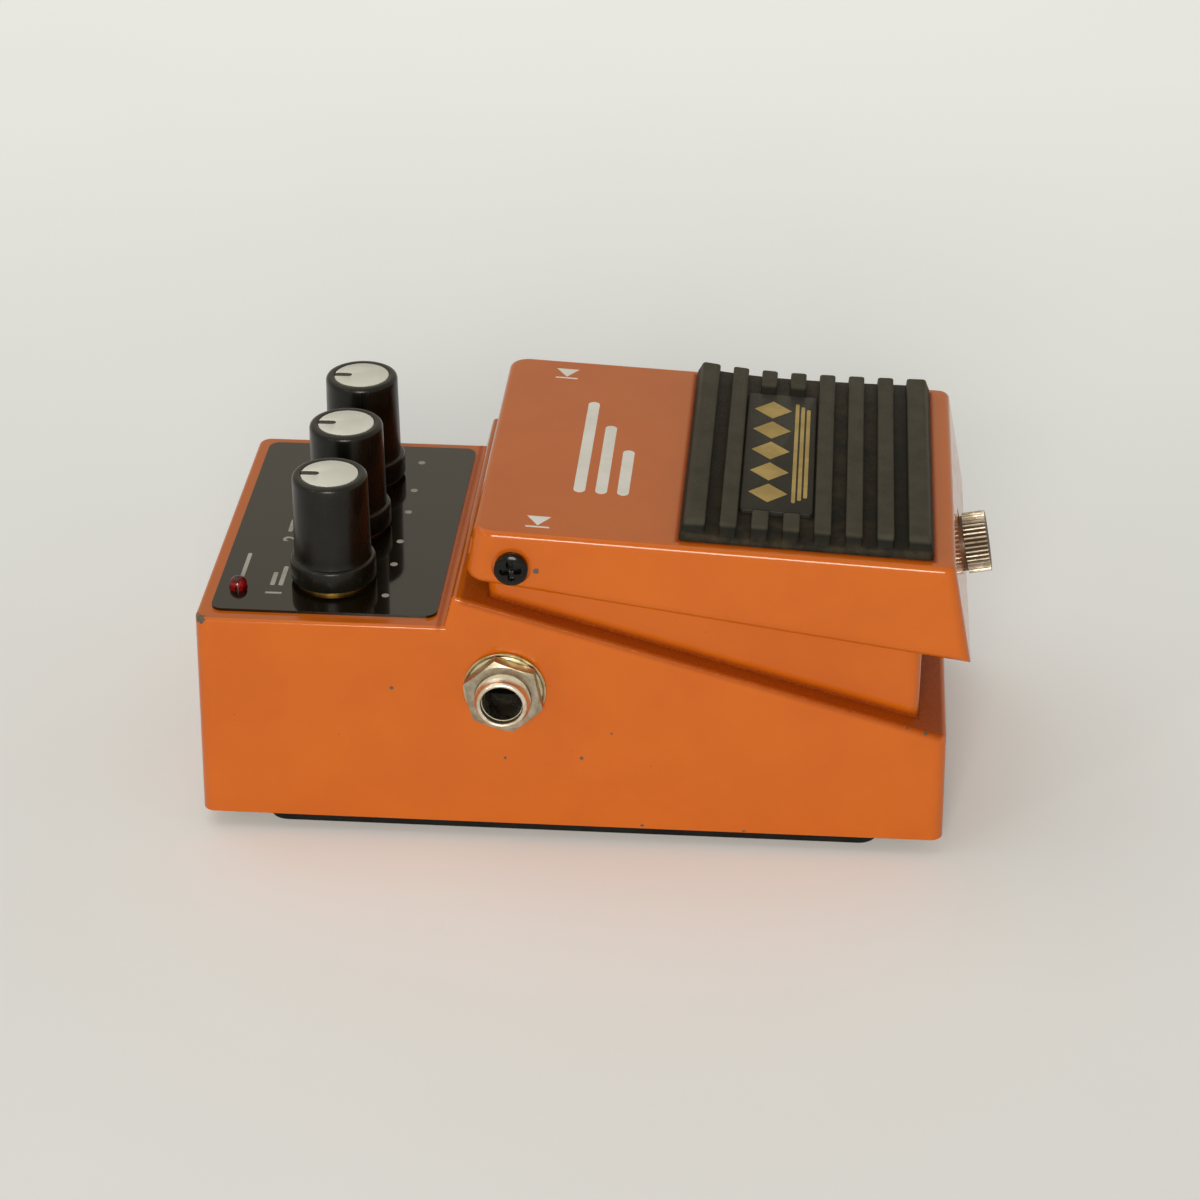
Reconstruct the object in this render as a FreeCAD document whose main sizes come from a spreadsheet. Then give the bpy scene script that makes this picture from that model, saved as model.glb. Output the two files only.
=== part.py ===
import FreeCAD, Part
import math
import os

import Sketcher
from FreeCAD import Placement, Rotation, Vector

# Analog delay pedal: a die-cast treadle pedal, every piece a solid of its own.
# Millimetres, +Z up. The player stands at -Y, the knobs are at the +Y end,
# the output jack is on -X, and the origin is the middle of the rubber pad's underside.

# Driving sizes
SIZES = {
    # Case
    "case_length": 128.0,         # back to front at the foot
    "case_width": 70.0,
    "case_height": 38.0,          # foot to knob deck
    "case_wall": 2.6,
    "case_corner": 2.2,           # upright corner rounding
    "case_edge": 0.7,             # rounding of the deck and ledge rims
    "end_taper": 0.6,             # back wall leans in by this at the deck
    "nose_taper": 0.3,            # front wall leans in by this at the front ledge
    "side_taper": 0.7,            # side walls lean in by this at the ridge
    "deck_length": 42.9,          # back wall to the foot of the ridge
    "ridge_height": 5.9,          # ridge above the deck
    "ridge_lean": 1.5,
    "nose_height": 20.3,          # foot to the front ledge
    "rim_recess": 1.0,            # shoulder that the base plate sits on
    "post_radius": 4.4,
    "back_post_height": 23.0,     # foot to the top of the back screw posts
    "hole_fit": 0.1,              # clearance on the radius of a hole round a fixed piece
    # Battery box and the space under the treadle
    "box_setback": 4.2,           # treadle's side to the box's side
    "box_wall": 2.6,
    "box_corner": 1.8,
    "front_ledge": 5.1,
    "back_ledge": 5.7,
    "front_rim_drop": 4.8,        # hinge line down to the front rim of the box
    "back_rim_rise": 2.1,         # hinge line up to the rim just in front of the ears
    "rim_reach": 7.5,             # that rim point, in front of the hinge
    "floor_wall": 2.5,
    "shelf_drop": 19.1,           # hinge line down to the spring and switch shelf
    "shelf_length": 24.0,
    # Hinge
    "hinge_room": 10.1,           # ridge to the hinge line
    "hinge_rise": 12.1,           # hinge line above the deck
    "ear_top_gap": 0.65,          # ears to the treadle's underside, at its back
    "hinge_pin": 3.0,             # pivot screw shank
    "pin_play": 0.05,             # running clearance on the radius
    "bush_outer": 5.0,
    "bush_flange": 6.4,
    "flange_thickness": 0.6,
    "pan_head": 5.6,
    "pan_height": 1.9,
    # Treadle, measured from the hinge line
    "treadle_overhang": 0.2,      # treadle's foot beyond the case's side
    "treadle_taper": 1.0,
    "rear_reach": 6.5,            # hinge to the rear top edge
    "rear_rise": 6.35,
    "rear_foot_reach": 8.3,       # hinge to the rear bottom edge
    "rear_foot_drop": 3.2,
    "front_overlap": 4.6,         # box's front to the treadle's front top edge
    "front_rise": 2.3,
    "front_lean": 3.4,
    "front_foot_drop": 15.4,
    "top_wall": 2.4,
    "end_wall": 2.2,
    "skirt_wall": 2.7,
    "rear_corner": 3.5,
    "front_corner": 2.0,
    "treadle_edge": 1.1,
    "heel_bevel": 2.0,            # bevel under the rear edge, clear of the ledge when it swings
    "press_room": 4.4,            # how far the shank travels up its slot
    "ear_gap": 0.5,               # room beside the ears and round the screw heads
    "seat_depth": 0.1,            # flats for the screw heads, into the side wall
    "head_stand": 0.3,            # screw heads' seats beyond the top's edge
    # Tread pad
    "tread_side_inset": 3.3,      # treadle's side at the foot to the tread's side
    "tread_front_inset": 3.5,     # treadle's front top edge to the tread's front
    "tread_base": 1.0,
    "rib_height": 2.0,
    "rib_width": 2.8,
    "rib_back_inset": 3.3,        # tread's back end to the middle of the first rib
    "rib_front_inset": 2.4,
    "rib_count": 8,
    "rib_slope": 1.7,
    "tread_start": 27.4,          # hinge to the tread's back edge
    "plate_length": 45.0,
    "plate_thickness": 0.8,
    "plate_gap": 0.25,
    # Thumbscrew and latch
    "thumb_drop": 11.0,           # hinge line down to the screw, at the treadle's face
    "thumb_head": 10.6,
    "thumb_depth": 4.0,
    "thumb_shank": 4.0,
    "thumb_length": 19.5,
    "knurl_count": 32,
    "knurl_depth": 0.35,
    "washer_outer": 9.6,
    "washer_thickness": 0.5,
    "latch_radius": 3.5,
    "latch_length": 12.0,
    "latch_gap": 0.8,             # box's front wall to the latch nut
    "shank_play": 0.3,
    "dip_side": 3.0,              # lowered rim beyond the latch nut's ends
    "dip_rise": 1.0,              # shank's middle up to the lowered rim
    # Return spring
    "spring_radius": 4.6,         # to the middle of the wire
    "spring_wire": 1.2,
    "spring_turns": 6.5,
    "spring_inset": 13.4,         # bay's side wall to the spring
    "mechanism_back": 23.5,       # hinge to the spring and switch
    "seat_drop": 0.6,             # hinge line down to the spring's seat under the treadle
    "spring_gap": 0.1,
    "peg_height": 4.0,
    "peg_play": 0.7,
    # Foot switch
    "switch_inset": 15.4,         # bay's side wall to the switch
    "switch_size": 12.0,
    "switch_body": 5.0,
    "switch_corner": 0.8,
    "switch_board_length": 26.0,
    "switch_board_width": 17.0,
    "board_thickness": 1.6,
    "switch_post": 6.0,
    "plunger_radius": 2.6,
    "plunger_rise": 2.4,          # plunger above its switch
    "plunger_depth": 3.0,         # plunger inside its switch
    "plunger_travel": 1.4,
    "switch_screw_x": 10.0,
    "switch_screw_y": 5.5,
    "pusher_radius": 4.5,
    "pusher_gap": 0.3,
    "boss_drop": 1.3,             # hinge line down to the pusher's seat
    # Control panel and light
    "panel_side_inset": 3.5,
    "panel_front_gap": 1.6,       # ridge's foot to the panel
    "panel_thickness": 0.5,
    "panel_corner": 2.0,
    "panel_inset": 2.9,           # back wall at the foot to the panel's edge
    "lamp_side_inset": 7.5,       # panel's side to the lamp
    "lamp_setback": 6.5,          # back wall to the lamp
    "lamp_radius": 1.5,
    "lamp_flange": 1.9,
    "lamp_rise": 1.5,             # lamp above the panel
    "lamp_collar": 1.0,
    # Potentiometers and knobs
    "knob_pitch": 19.5,
    "knob_setback": 22.3,         # back wall to the knobs' row
    "pot_radius": 8.2,
    "pot_height": 8.3,
    "lug_pitch": 5.0,
    "lug_width": 1.2,
    "lug_reach": 2.0,             # lugs beyond the can
    "lug_thickness": 1.0,
    "bushing_radius": 3.5,
    "bushing_rise": 3.4,          # bushing above the panel
    "shaft_radius": 3.0,
    "shaft_rise": 15.0,           # shaft above the panel
    "shaft_floor": 2.0,           # shaft's foot above the board
    "shaft_split": 5.0,
    "split_width": 0.9,
    "pot_washer_radius": 6.4,
    "pot_washer": 0.5,
    "pot_nut_width": 10.0,
    "pot_nut": 2.0,
    "knob_gap": 1.5,              # knob above the panel
    "knob_radius": 6.5,
    "knob_height": 18.6,
    "knob_taper": 0.1,
    "knob_edge": 0.6,
    "skirt_radius": 7.3,
    "skirt_height": 3.2,
    "nut_room": 0.53,             # nut's corners to the hollow under the knob
    "bushing_room": 0.5,          # bushing to the top of that hollow
    "inlay_radius": 4.85,
    "inlay_depth": 0.6,
    "pointer_length": 3.1,
    "pointer_width": 0.7,
    # Quarter-inch jacks
    "jack_lead": 1.4,             # hinge line to the jacks
    "jack_height": 26.7,          # foot to the jacks
    "jack_bore": 6.5,
    "jack_bushing": 9.5,
    "jack_reach": 5.5,            # bushing's end beyond the case's side at the foot
    "jack_end_wall": 2.1,
    "jack_mouth": 0.5,            # bevel at the jack's mouth
    "jack_body_length": 22.0,
    "jack_body_width": 15.5,
    "jack_body_height": 13.0,
    "jack_washer_outer": 14.1,
    "jack_washer": 0.8,
    "jack_nut_width": 12.1,
    "jack_nut": 2.3,
    # Power jack
    "power_height": 14.0,         # foot to the power jack
    "power_barrel": 11.0,
    "power_bore": 5.5,
    "power_pin": 2.1,
    "power_reach": 2.6,           # barrel beyond the back wall
    "power_body": 14.0,
    "power_nut_outer": 14.5,
    "power_nut": 2.0,
    "power_depth": 9.5,
    # Circuit board and what is on it
    "board_length": 36.0,
    "board_side_gap": 2.4,
    "board_gap": 1.4,             # back wall to the board
    "board_post_inset": 3.0,      # board's edges to its posts
    "chip_edge": 2.5,             # board's sides to the chips
    "chip_front": 9.0,            # board's front edge to the first row of chips
    "chip_back": 11.0,            # last row of chips to the board's back edge
    "chip_length": 19.0,
    "chip_width": 6.4,
    "chip_height": 3.4,
    "capacitor_radius": 2.5,
    "capacitor_height": 6.5,
    "small_screw": 1.25,
    "small_head": 2.4,
    "small_length": 6.0,          # screw inside its post
    "small_head_height": 1.4,
    # Battery
    "battery_height": 17.0,
    "battery_side_gap": 1.4,      # battery to the wall beside its foot
    "snap_room": 9.0,             # battery's terminal end to the wall on that side
    "battery_gap": 1.0,           # battery to the wall behind it
    "latch_room": 3.1,            # battery to the wall in front of it
    "battery_clear": 0.9,         # battery up to the latch nut
    "battery_edge": 2.0,
    "foam_thickness": 0.5,
    "terminal_height": 2.0,
    "terminal_spread": 12.7,
    "terminal_radius": 2.8,
    "snap_gap": 0.3,
    "snap_thickness": 4.0,
    "lead_radius": 0.7,
    "lead_spread": 2.4,
    "lead_inset": 6.4,            # bay's side wall to the leads
    "grommet_drop": 0.6,          # shelf's underside down to the grommet
    "grommet_radius": 3.4,
    "grommet_lip": 0.6,
    "grommet_bore": 2.1,
    # Base
    "pad_thickness": 3.0,
    "pad_end_inset": 11.0,
    "pad_side_inset": 3.0,
    "pad_corner": 6.0,
    "pad_bevel": 0.8,
    "plate_metal": 1.0,
    "base_screw_inset_x": 6.5,    # case's sides and ends to the base screws
    "base_screw_inset_y": 6.4,
    "base_screw_radius": 1.5,
    "base_screw_head": 2.8,
    "base_head_height": 1.6,
    "base_screw_length": 8.0,
}

doc = FreeCAD.newDocument("delay_pedal")
sheet = doc.addObject("Spreadsheet::Sheet", "Sizes")
for row, (alias, number) in enumerate(SIZES.items(), 1):
    sheet.set("A%d" % row, alias.replace("_", " "))
    sheet.set("B%d" % row, str(number))
    sheet.setAlias("B%d" % row, alias)
doc.recompute()


class Size:
    """A size that knows its value and the sheet formula it comes from."""

    def __init__(self, value, formula=None):
        self.value = float(value)
        self.formula = formula or "(%r)" % float(value)

    def joined(self, other, sign, value):
        return Size(value, "(%s %s %s)" % (self.formula, sign, other.formula))

    def __add__(self, other):
        other = as_size(other)
        return self.joined(other, "+", self.value + other.value)

    def __sub__(self, other):
        other = as_size(other)
        return self.joined(other, "-", self.value - other.value)

    def __mul__(self, other):
        other = as_size(other)
        return self.joined(other, "*", self.value * other.value)

    def __truediv__(self, other):
        other = as_size(other)
        return self.joined(other, "/", self.value / other.value)

    def __radd__(self, other):
        return as_size(other) + self

    def __rsub__(self, other):
        return as_size(other) - self

    def __rmul__(self, other):
        return as_size(other) * self

    def __neg__(self):
        return as_size(0) - self


def as_size(thing):
    return thing if isinstance(thing, Size) else Size(thing)


class Sheet:
    """Reads the sheet's cells by name."""

    def __getattr__(self, alias):
        return Size(sheet.get(alias), "Sizes." + alias)


S = Sheet()

# Turns that lay a Z axis along another one
ALONG_X = Rotation(Vector(0, 1, 0), 90)
AGAINST_X = Rotation(Vector(0, 1, 0), -90)
ALONG_Y = Rotation(Vector(1, 0, 0), -90)
UPRIGHT = Rotation()

pieces = []


def bind(thing, **sizes):
    """Tie properties to sheet formulas."""
    for name, size in sizes.items():
        thing.setExpression(name, as_size(size).formula)


def place(thing, x=0, y=0, z=0, turn=UPRIGHT):
    """Put a thing at bound coordinates, with a turn."""
    spot = [as_size(x), as_size(y), as_size(z)]
    thing.Placement = Placement(Vector(*[s.value for s in spot]), turn)
    for axis, size in zip("xyz", spot):
        thing.setExpression("Placement.Base." + axis, size.formula)
    return thing


def piece(thing, label):
    """Register a finished sub-part under its own name."""
    thing.Label = label
    pieces.append(thing)
    return thing


# Simple solids and their joins

def block(x, y, z, length, width, height):
    """A box centred on x and y that stands on z."""
    thing = doc.addObject("Part::Box", "block")
    bind(thing, Length=length, Width=width, Height=height)
    return place(thing, x - as_size(length) / 2, y - as_size(width) / 2, z)


def rod(x, y, z, radius, height, turn=UPRIGHT):
    """A round bar from its foot's middle along its turned Z axis."""
    thing = doc.addObject("Part::Cylinder", "rod")
    bind(thing, Radius=radius, Height=height)
    return place(thing, x, y, z, turn)


def cone(x, y, z, low, high, height, turn=UPRIGHT):
    thing = doc.addObject("Part::Cone", "cone")
    bind(thing, Radius1=low, Radius2=high, Height=height)
    return place(thing, x, y, z, turn)


def nut_blank(x, y, z, width, height, turn=UPRIGHT):
    """A hexagonal bar, its width measured across the flats."""
    thing = doc.addObject("Part::Prism", "hexagon")
    thing.Polygon = 6
    bind(thing, Circumradius=as_size(width) / math.sqrt(3), Height=height)
    return place(thing, x, y, z, turn)


def fuse(*things):
    joined = doc.addObject("Part::MultiFuse", "joined")
    joined.Shapes = list(things)
    return joined


def group(*things):
    """Separate solids kept in one sub-part."""
    kept = doc.addObject("Part::Compound", "group")
    kept.Links = list(things)
    return kept


def cut(base, *tools):
    less = doc.addObject("Part::Cut", "cut")
    less.Base = base
    less.Tool = tools[0] if len(tools) == 1 else fuse(*tools)
    return less


def common(base, tool):
    both = doc.addObject("Part::Common", "common")
    both.Base = base
    both.Tool = tool
    return both


def rounded(base, radius, test):
    """Round the edges of a solid that pass a test."""
    doc.recompute()
    thing = doc.addObject("Part::Fillet", "rounded")
    thing.Base = base
    numbers = [i for i, edge in enumerate(base.Shape.Edges, 1) if test(edge)]
    thing.Edges = [(i, radius.value, radius.value) for i in numbers]
    return thing


# Bodies built from sketches

def body(label, x=0, y=0, z=0, turn=UPRIGHT):
    thing = doc.addObject("PartDesign::Body", label)
    place(thing, x, y, z, turn)
    return piece(thing, label)


def sketch(owner, role, shift=None):
    """A sketch on one of its body's own planes, moved along the plane's normal."""
    thing = owner.newObject("Sketcher::SketchObject", "sketch")
    plane = [f for f in owner.Origin.OriginFeatures if f.Role == role][0]
    thing.AttachmentSupport = [(plane, "")]
    thing.MapMode = "FlatFace"
    if shift is not None:
        thing.setExpression("AttachmentOffset.Base.z", as_size(shift).formula)
    return thing


def pin(thing, shape, end, u, v):
    """Tie a point of a sketch to bound coordinates."""
    for kind, axis, size in (("DistanceX", -2, u), ("DistanceY", -1, v)):
        if not isinstance(size, Size) and size == 0:
            thing.addConstraint(Sketcher.Constraint("PointOnObject", shape, end, axis))
            continue
        size = as_size(size)
        number = thing.addConstraint(Sketcher.Constraint(kind, shape, end, size.value))
        thing.setExpression("Constraints[%d]" % number, size.formula)


def outline(thing, *corners):
    """Close straight lines through bound corners."""
    first = len(thing.Geometry)
    spots = [Vector(as_size(u).value, as_size(v).value, 0) for u, v in corners]
    count = len(spots)
    for i in range(count):
        thing.addGeometry(Part.LineSegment(spots[i], spots[(i + 1) % count]))
    for i in range(count):
        following = first + (i + 1) % count
        thing.addConstraint(Sketcher.Constraint("Coincident", first + i, 2, following, 1))
    for i, (u, v) in enumerate(corners):
        pin(thing, first + i, 1, u, v)
    return thing


def rectangle(thing, low_u, low_v, high_u, high_v):
    return outline(thing, (low_u, low_v), (high_u, low_v), (high_u, high_v), (low_u, high_v))


def ring(thing, u, v, radius):
    """A circle with a bound middle and radius."""
    middle = Vector(as_size(u).value, as_size(v).value, 0)
    size = as_size(radius)
    shape = thing.addGeometry(Part.Circle(middle, Vector(0, 0, 1), size.value))
    number = thing.addConstraint(Sketcher.Constraint("Radius", shape, size.value))
    thing.setExpression("Constraints[%d]" % number, size.formula)
    pin(thing, shape, 3, u, v)
    return thing


def oblong(thing, u, low_v, high_v, radius):
    """An upright slot with round ends, between the middles of its ends."""
    first = len(thing.Geometry)
    left = as_size(u) - radius
    right = as_size(u) + radius
    low = Vector(as_size(u).value, low_v.value, 0)
    high = Vector(as_size(u).value, high_v.value, 0)
    round_foot = Part.Circle(low, Vector(0, 0, 1), radius.value)
    round_head = Part.Circle(high, Vector(0, 0, 1), radius.value)
    thing.addGeometry(Part.ArcOfCircle(round_foot, math.pi, 2 * math.pi))
    thing.addGeometry(Part.LineSegment(Vector(right.value, low.y, 0), Vector(right.value, high.y, 0)))
    thing.addGeometry(Part.ArcOfCircle(round_head, 0, math.pi))
    thing.addGeometry(Part.LineSegment(Vector(left.value, high.y, 0), Vector(left.value, low.y, 0)))
    for i in range(4):
        following = first + (i + 1) % 4
        thing.addConstraint(Sketcher.Constraint("Coincident", first + i, 2, following, 1))
    pin(thing, first + 1, 1, right, low_v)
    pin(thing, first + 1, 2, right, high_v)
    pin(thing, first + 3, 1, left, high_v)
    pin(thing, first + 3, 2, left, low_v)
    for arc, level in ((first, low_v), (first + 2, high_v)):
        number = thing.addConstraint(Sketcher.Constraint("DistanceY", arc, 3, level.value))
        thing.setExpression("Constraints[%d]" % number, level.formula)
    return thing


def grow(owner, profile, kind, length, both=False, back=False):
    thing = owner.newObject("PartDesign::" + kind, kind.lower())
    thing.Profile = profile
    bind(thing, Length=length)
    if both:
        thing.SideType = "Symmetric"
    thing.Reversed = back
    return thing


def pad(owner, profile, length, both=False, back=False):
    return grow(owner, profile, "Pad", length, both, back)


def pocket(owner, profile, length, both=False, back=False):
    return grow(owner, profile, "Pocket", length, both, back)


def soften(owner, radius, test, kind="Fillet"):
    """Round or bevel the body's edges that pass a test."""
    doc.recompute()
    tip = owner.Tip
    names = ["Edge%d" % i for i, edge in enumerate(tip.Shape.Edges, 1) if test(edge)]
    thing = owner.newObject("PartDesign::" + kind, kind.lower())
    thing.Base = (tip, names)
    if kind == "Fillet":
        bind(thing, Radius=radius)
    else:
        bind(thing, Size=radius)
    return thing


def revolve(owner, profile):
    """Turn an XZ profile about the body's own Z axis."""
    thing = owner.newObject("PartDesign::Revolution", "revolution")
    thing.Profile = profile
    thing.ReferenceAxis = (profile, ["V_Axis"])
    thing.Angle = 360
    return thing


def span(edge, axis):
    """Lowest and highest reach of an edge along an axis."""
    limits = edge.BoundBox
    return getattr(limits, axis + "Min"), getattr(limits, axis + "Max")


def rises(edge, least):
    low, high = span(edge, "Z")
    return high - low > least


# Levels and lines that several pieces share
half_length = S.case_length / 2
half_width = S.case_width / 2
foot = S.pad_thickness
deck = foot + S.case_height
panel_top = deck + S.panel_thickness
nose = foot + S.nose_height
ridge_foot_y = half_length - S.deck_length
ridge_y = ridge_foot_y - S.ridge_lean
ridge = deck + S.ridge_height
hinge_y = ridge_y - S.hinge_room
hinge_z = deck + S.hinge_rise
knob_y = half_length - S.knob_setback
jack_y = hinge_y + S.jack_lead
jack_z = foot + S.jack_height
treadle_half = half_width + S.treadle_overhang
treadle_width = treadle_half * 2
ear_radius = S.rear_rise - S.top_wall - S.ear_top_gap
ear_x = treadle_half - S.box_setback
box_width = ear_x * 2
bay_x = ear_x - S.box_wall
box_front_y = S.front_ledge - half_length
bay_front_y = box_front_y + S.box_wall
mechanism_y = hinge_y - S.mechanism_back
bay_back_y = mechanism_y - S.shelf_length / 2
shelf_back_y = mechanism_y + S.shelf_length / 2
shelf = hinge_z - S.shelf_drop
box_back_y = ridge_y - S.back_ledge
front_rim = hinge_z - S.front_rim_drop
back_rim = hinge_z + S.back_rim_rise
deck_under = deck - S.case_wall
front_reach = hinge_y - box_front_y + S.front_overlap
spring_x = S.spring_inset - bay_x
switch_x = bay_x - S.switch_inset
lead_x = bay_x - S.lead_inset
base_screw_x = half_width - S.base_screw_inset_x
base_screw_y = half_length - S.base_screw_inset_y

# The screw's axis leans with the treadle's front face, the latch nut hangs on it,
# and the battery lies under the nut
lean = S.front_lean / (S.front_rise + S.front_foot_drop)
lean_angle = math.degrees(math.atan(lean.value))
face_reach = front_reach + (S.front_rise + S.thumb_drop) * lean
thumb_y = hinge_y - face_reach
thumb_z = hinge_z - S.thumb_drop
latch_y = bay_front_y + S.latch_gap + S.latch_radius
latch_z = thumb_z - (latch_y - thumb_y) * lean
battery_top = latch_z - S.latch_radius - S.battery_clear
battery_foot = battery_top - S.battery_height
bay_floor = battery_foot - S.foam_thickness
OVER = 20.0                       # cuts run this far past the surface they open
EAR_BLEND = 0.95                  # the ear's flanks meet its round just inside the rim


def ledge_at(y):
    """Height of the sloping side ledge at a given y."""
    rise = ridge - nose
    run = ridge_y + half_length
    return nose + (y + half_length) * rise / run


def side_at(z):
    """Half width of the tapered case at a given height."""
    return half_width - S.side_taper * (z - foot) / (ridge - foot)


# Case
case = body("case")
side = outline(
    sketch(case, "YZ_Plane"),
    (-half_length, foot),
    (half_length, foot),
    (half_length - S.end_taper, deck),
    (ridge_foot_y, deck),
    (ridge_y, ridge),
    (S.nose_taper - half_length, nose),
)
pad(case, side, S.case_width, both=True)
taper = sketch(case, "XZ_Plane")
for hand in (-1, 1):
    outline(
        taper,
        (hand * half_width, foot),
        (hand * (half_width - S.side_taper), ridge),
        (hand * (half_width - S.side_taper), ridge + OVER),
        (hand * (half_width + OVER), ridge + OVER),
        (hand * (half_width + OVER), foot),
    )
pocket(case, taper, S.case_length + OVER, both=True)


def case_upright(edge):
    return rises(edge, S.nose_height.value / 2) and abs(edge.CenterOfMass.y) > half_length.value - 2


def case_rim(edge):
    """Rims of the deck, the ridge and the ledge, but not the ridge's foot."""
    low, _ = span(edge, "Z")
    low_y, high_y = span(edge, "Y")
    foot_line = high_y - low_y < 0.1 and abs(low_y - ridge_foot_y.value) < 0.1
    return low > nose.value - 0.5 and not foot_line


soften(case, S.case_corner, case_upright)
soften(case, S.case_edge, case_rim)

# Raised battery box with the hinge ears at its back
walls = outline(
    sketch(case, "YZ_Plane"),
    (box_front_y, nose - S.case_wall),
    (box_front_y, front_rim),
    (hinge_y - S.rim_reach, back_rim),
    (box_back_y, hinge_z - ear_radius),
    (box_back_y, ledge_at(box_back_y) - S.case_wall),
)
pad(case, walls, box_width, both=True)


def box_upright(edge):
    """The box's own four upright corners."""
    low, high = span(edge, "X")
    outside = abs(max(abs(low), abs(high)) - box_width.value / 2) < 0.01 and high - low < 0.01
    y = edge.CenterOfMass.y
    ends = abs(y - box_front_y.value) < 0.1 or abs(y - box_back_y.value) < 0.1
    return outside and ends and rises(edge, 1.0)


soften(case, S.box_corner, box_upright)
ears = outline(
    sketch(case, "YZ_Plane"),
    (hinge_y - S.rim_reach, back_rim),
    (hinge_y, hinge_z + ear_radius * EAR_BLEND),
    (hinge_y + ear_radius * EAR_BLEND, hinge_z),
    (box_back_y - S.box_corner, hinge_z - ear_radius),
    (hinge_y - S.rim_reach, hinge_z - ear_radius),
)
pad(case, ears, box_width, both=True)
pad(case, ring(sketch(case, "YZ_Plane"), hinge_y, hinge_z, ear_radius), box_width, both=True)

# Battery bay, the shelf behind it, and the open space between the ears
bay = outline(
    sketch(case, "YZ_Plane"),
    (bay_front_y, bay_floor),
    (bay_back_y, bay_floor),
    (bay_back_y, shelf),
    (shelf_back_y, shelf),
    (shelf_back_y, ledge_at(shelf_back_y)),
    (ridge_y, ledge_at(ridge_y)),
    (ridge_y, ridge + OVER),
    (bay_front_y, ridge + OVER),
)
pocket(case, bay, bay_x * 2, both=True)

# Circuit space, open at the foot
cavity_back_y = half_length - S.case_wall
roof_y = shelf_back_y + S.case_wall
roof_end_y = ridge_y - S.case_wall
under = outline(
    sketch(case, "YZ_Plane"),
    (-cavity_back_y, foot),
    (-cavity_back_y, bay_floor - S.floor_wall),
    (bay_back_y + S.case_wall, bay_floor - S.floor_wall),
    (bay_back_y + S.case_wall, shelf - S.floor_wall),
    (roof_y, shelf - S.floor_wall),
    (roof_y, ledge_at(roof_y) - S.case_wall),
    (roof_end_y, ledge_at(roof_end_y) - S.case_wall),
    (ridge_foot_y - S.case_wall, deck_under),
    (cavity_back_y, deck_under),
    (cavity_back_y, foot),
)
pocket(case, under, S.case_width - S.case_wall * 2, both=True)
rim_inset = S.case_wall - S.rim_recess
seat = rectangle(
    sketch(case, "XY_Plane", foot),
    rim_inset - half_width,
    rim_inset - half_length,
    half_width - rim_inset,
    half_length - rim_inset,
)
pocket(case, seat, S.plate_metal, back=True)

# Screw posts in the corners
post_foot = foot + S.plate_metal
corners = [(hand, end) for end in (-1, 1) for hand in (-1, 1)]
for hand, end in corners:
    post_plane = sketch(case, "XY_Plane", post_foot)
    post = ring(post_plane, hand * base_screw_x, end * base_screw_y, S.post_radius)
    if end < 0:
        pad(case, post, bay_floor - S.floor_wall / 2 - post_foot)
    else:
        pad(case, post, foot + S.back_post_height - post_foot)
screw_holes = sketch(case, "XY_Plane", foot)
for hand, end in corners:
    ring(screw_holes, hand * base_screw_x, end * base_screw_y, S.base_screw_radius + S.hole_fit)
pocket(case, screw_holes, S.base_screw_length + S.plate_metal, back=True)

# Posts that hang from the deck and carry the circuit board
board_top = deck_under - S.pot_height
board_x = half_width - S.case_wall - S.board_side_gap
board_back_y = half_length - S.case_wall - S.board_gap
board_front_y = board_back_y - S.board_length
board_post_x = board_x - S.board_post_inset
board_posts = [
    (-board_post_x, board_front_y + S.board_post_inset),
    (board_post_x, board_front_y + S.board_post_inset),
    (board_post_x, board_back_y - S.board_post_inset),
    (-S.knob_pitch / 2, board_back_y - S.board_post_inset),
]
for x, y in board_posts:
    hanger = ring(sketch(case, "XY_Plane", board_top), x, y, S.small_head)
    pad(case, hanger, deck - S.case_wall / 2 - board_top)
hanger_holes = sketch(case, "XY_Plane", board_top)
for x, y in board_posts:
    ring(hanger_holes, x, y, S.small_screw + S.hole_fit)
pocket(case, hanger_holes, S.small_length, back=True)

# Holes for the jacks, the hinge screws, the knobs and the lamp
side_holes = sketch(case, "YZ_Plane")
ring(side_holes, jack_y, jack_z, S.jack_bushing / 2 + S.hole_fit)
ring(side_holes, hinge_y, hinge_z, S.hinge_pin / 2 + S.hole_fit)
pocket(case, side_holes, S.case_width + OVER, both=True)
power_z = foot + S.power_height
back_plane = sketch(case, "XZ_Plane", S.case_wall * 4 - half_length)
power_hole = ring(back_plane, 0, power_z, S.power_barrel / 2 + S.hole_fit)
pocket(case, power_hole, S.case_wall * 5)
panel_x = half_width - S.panel_side_inset
lamp_x = S.lamp_side_inset - panel_x
knob_xs = {"time": -S.knob_pitch, "repeat": 0, "level": S.knob_pitch}
deck_holes = sketch(case, "XY_Plane", deck + 1)
for x in knob_xs.values():
    ring(deck_holes, x, knob_y, S.bushing_radius + S.hole_fit)
lamp_y = half_length - S.lamp_setback
ring(deck_holes, lamp_x, lamp_y, S.lamp_radius + S.hole_fit)
pocket(case, deck_holes, S.case_wall * 2)

# Latch slot in the box's front wall, open at the top, in a lowered stretch of rim
slot_z = thumb_z - (box_front_y + S.box_wall / 2 - thumb_y) * lean
slot_half = S.thumb_shank / 2 + S.shank_play
latch = sketch(case, "XZ_Plane", -(bay_front_y + 1))
slot_foot = slot_z - S.thumb_shank / 2 - S.shank_play * 2
dip_half = S.latch_length / 2 + S.dip_side
dip_z = slot_z + S.dip_rise
outline(
    latch,
    (-slot_half, slot_foot),
    (slot_half, slot_foot),
    (slot_half, dip_z),
    (dip_half, dip_z),
    (dip_half, ridge + OVER),
    (-dip_half, ridge + OVER),
    (-dip_half, dip_z),
    (-slot_half, dip_z),
)
pocket(case, latch, S.box_wall + 2, back=True)

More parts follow.
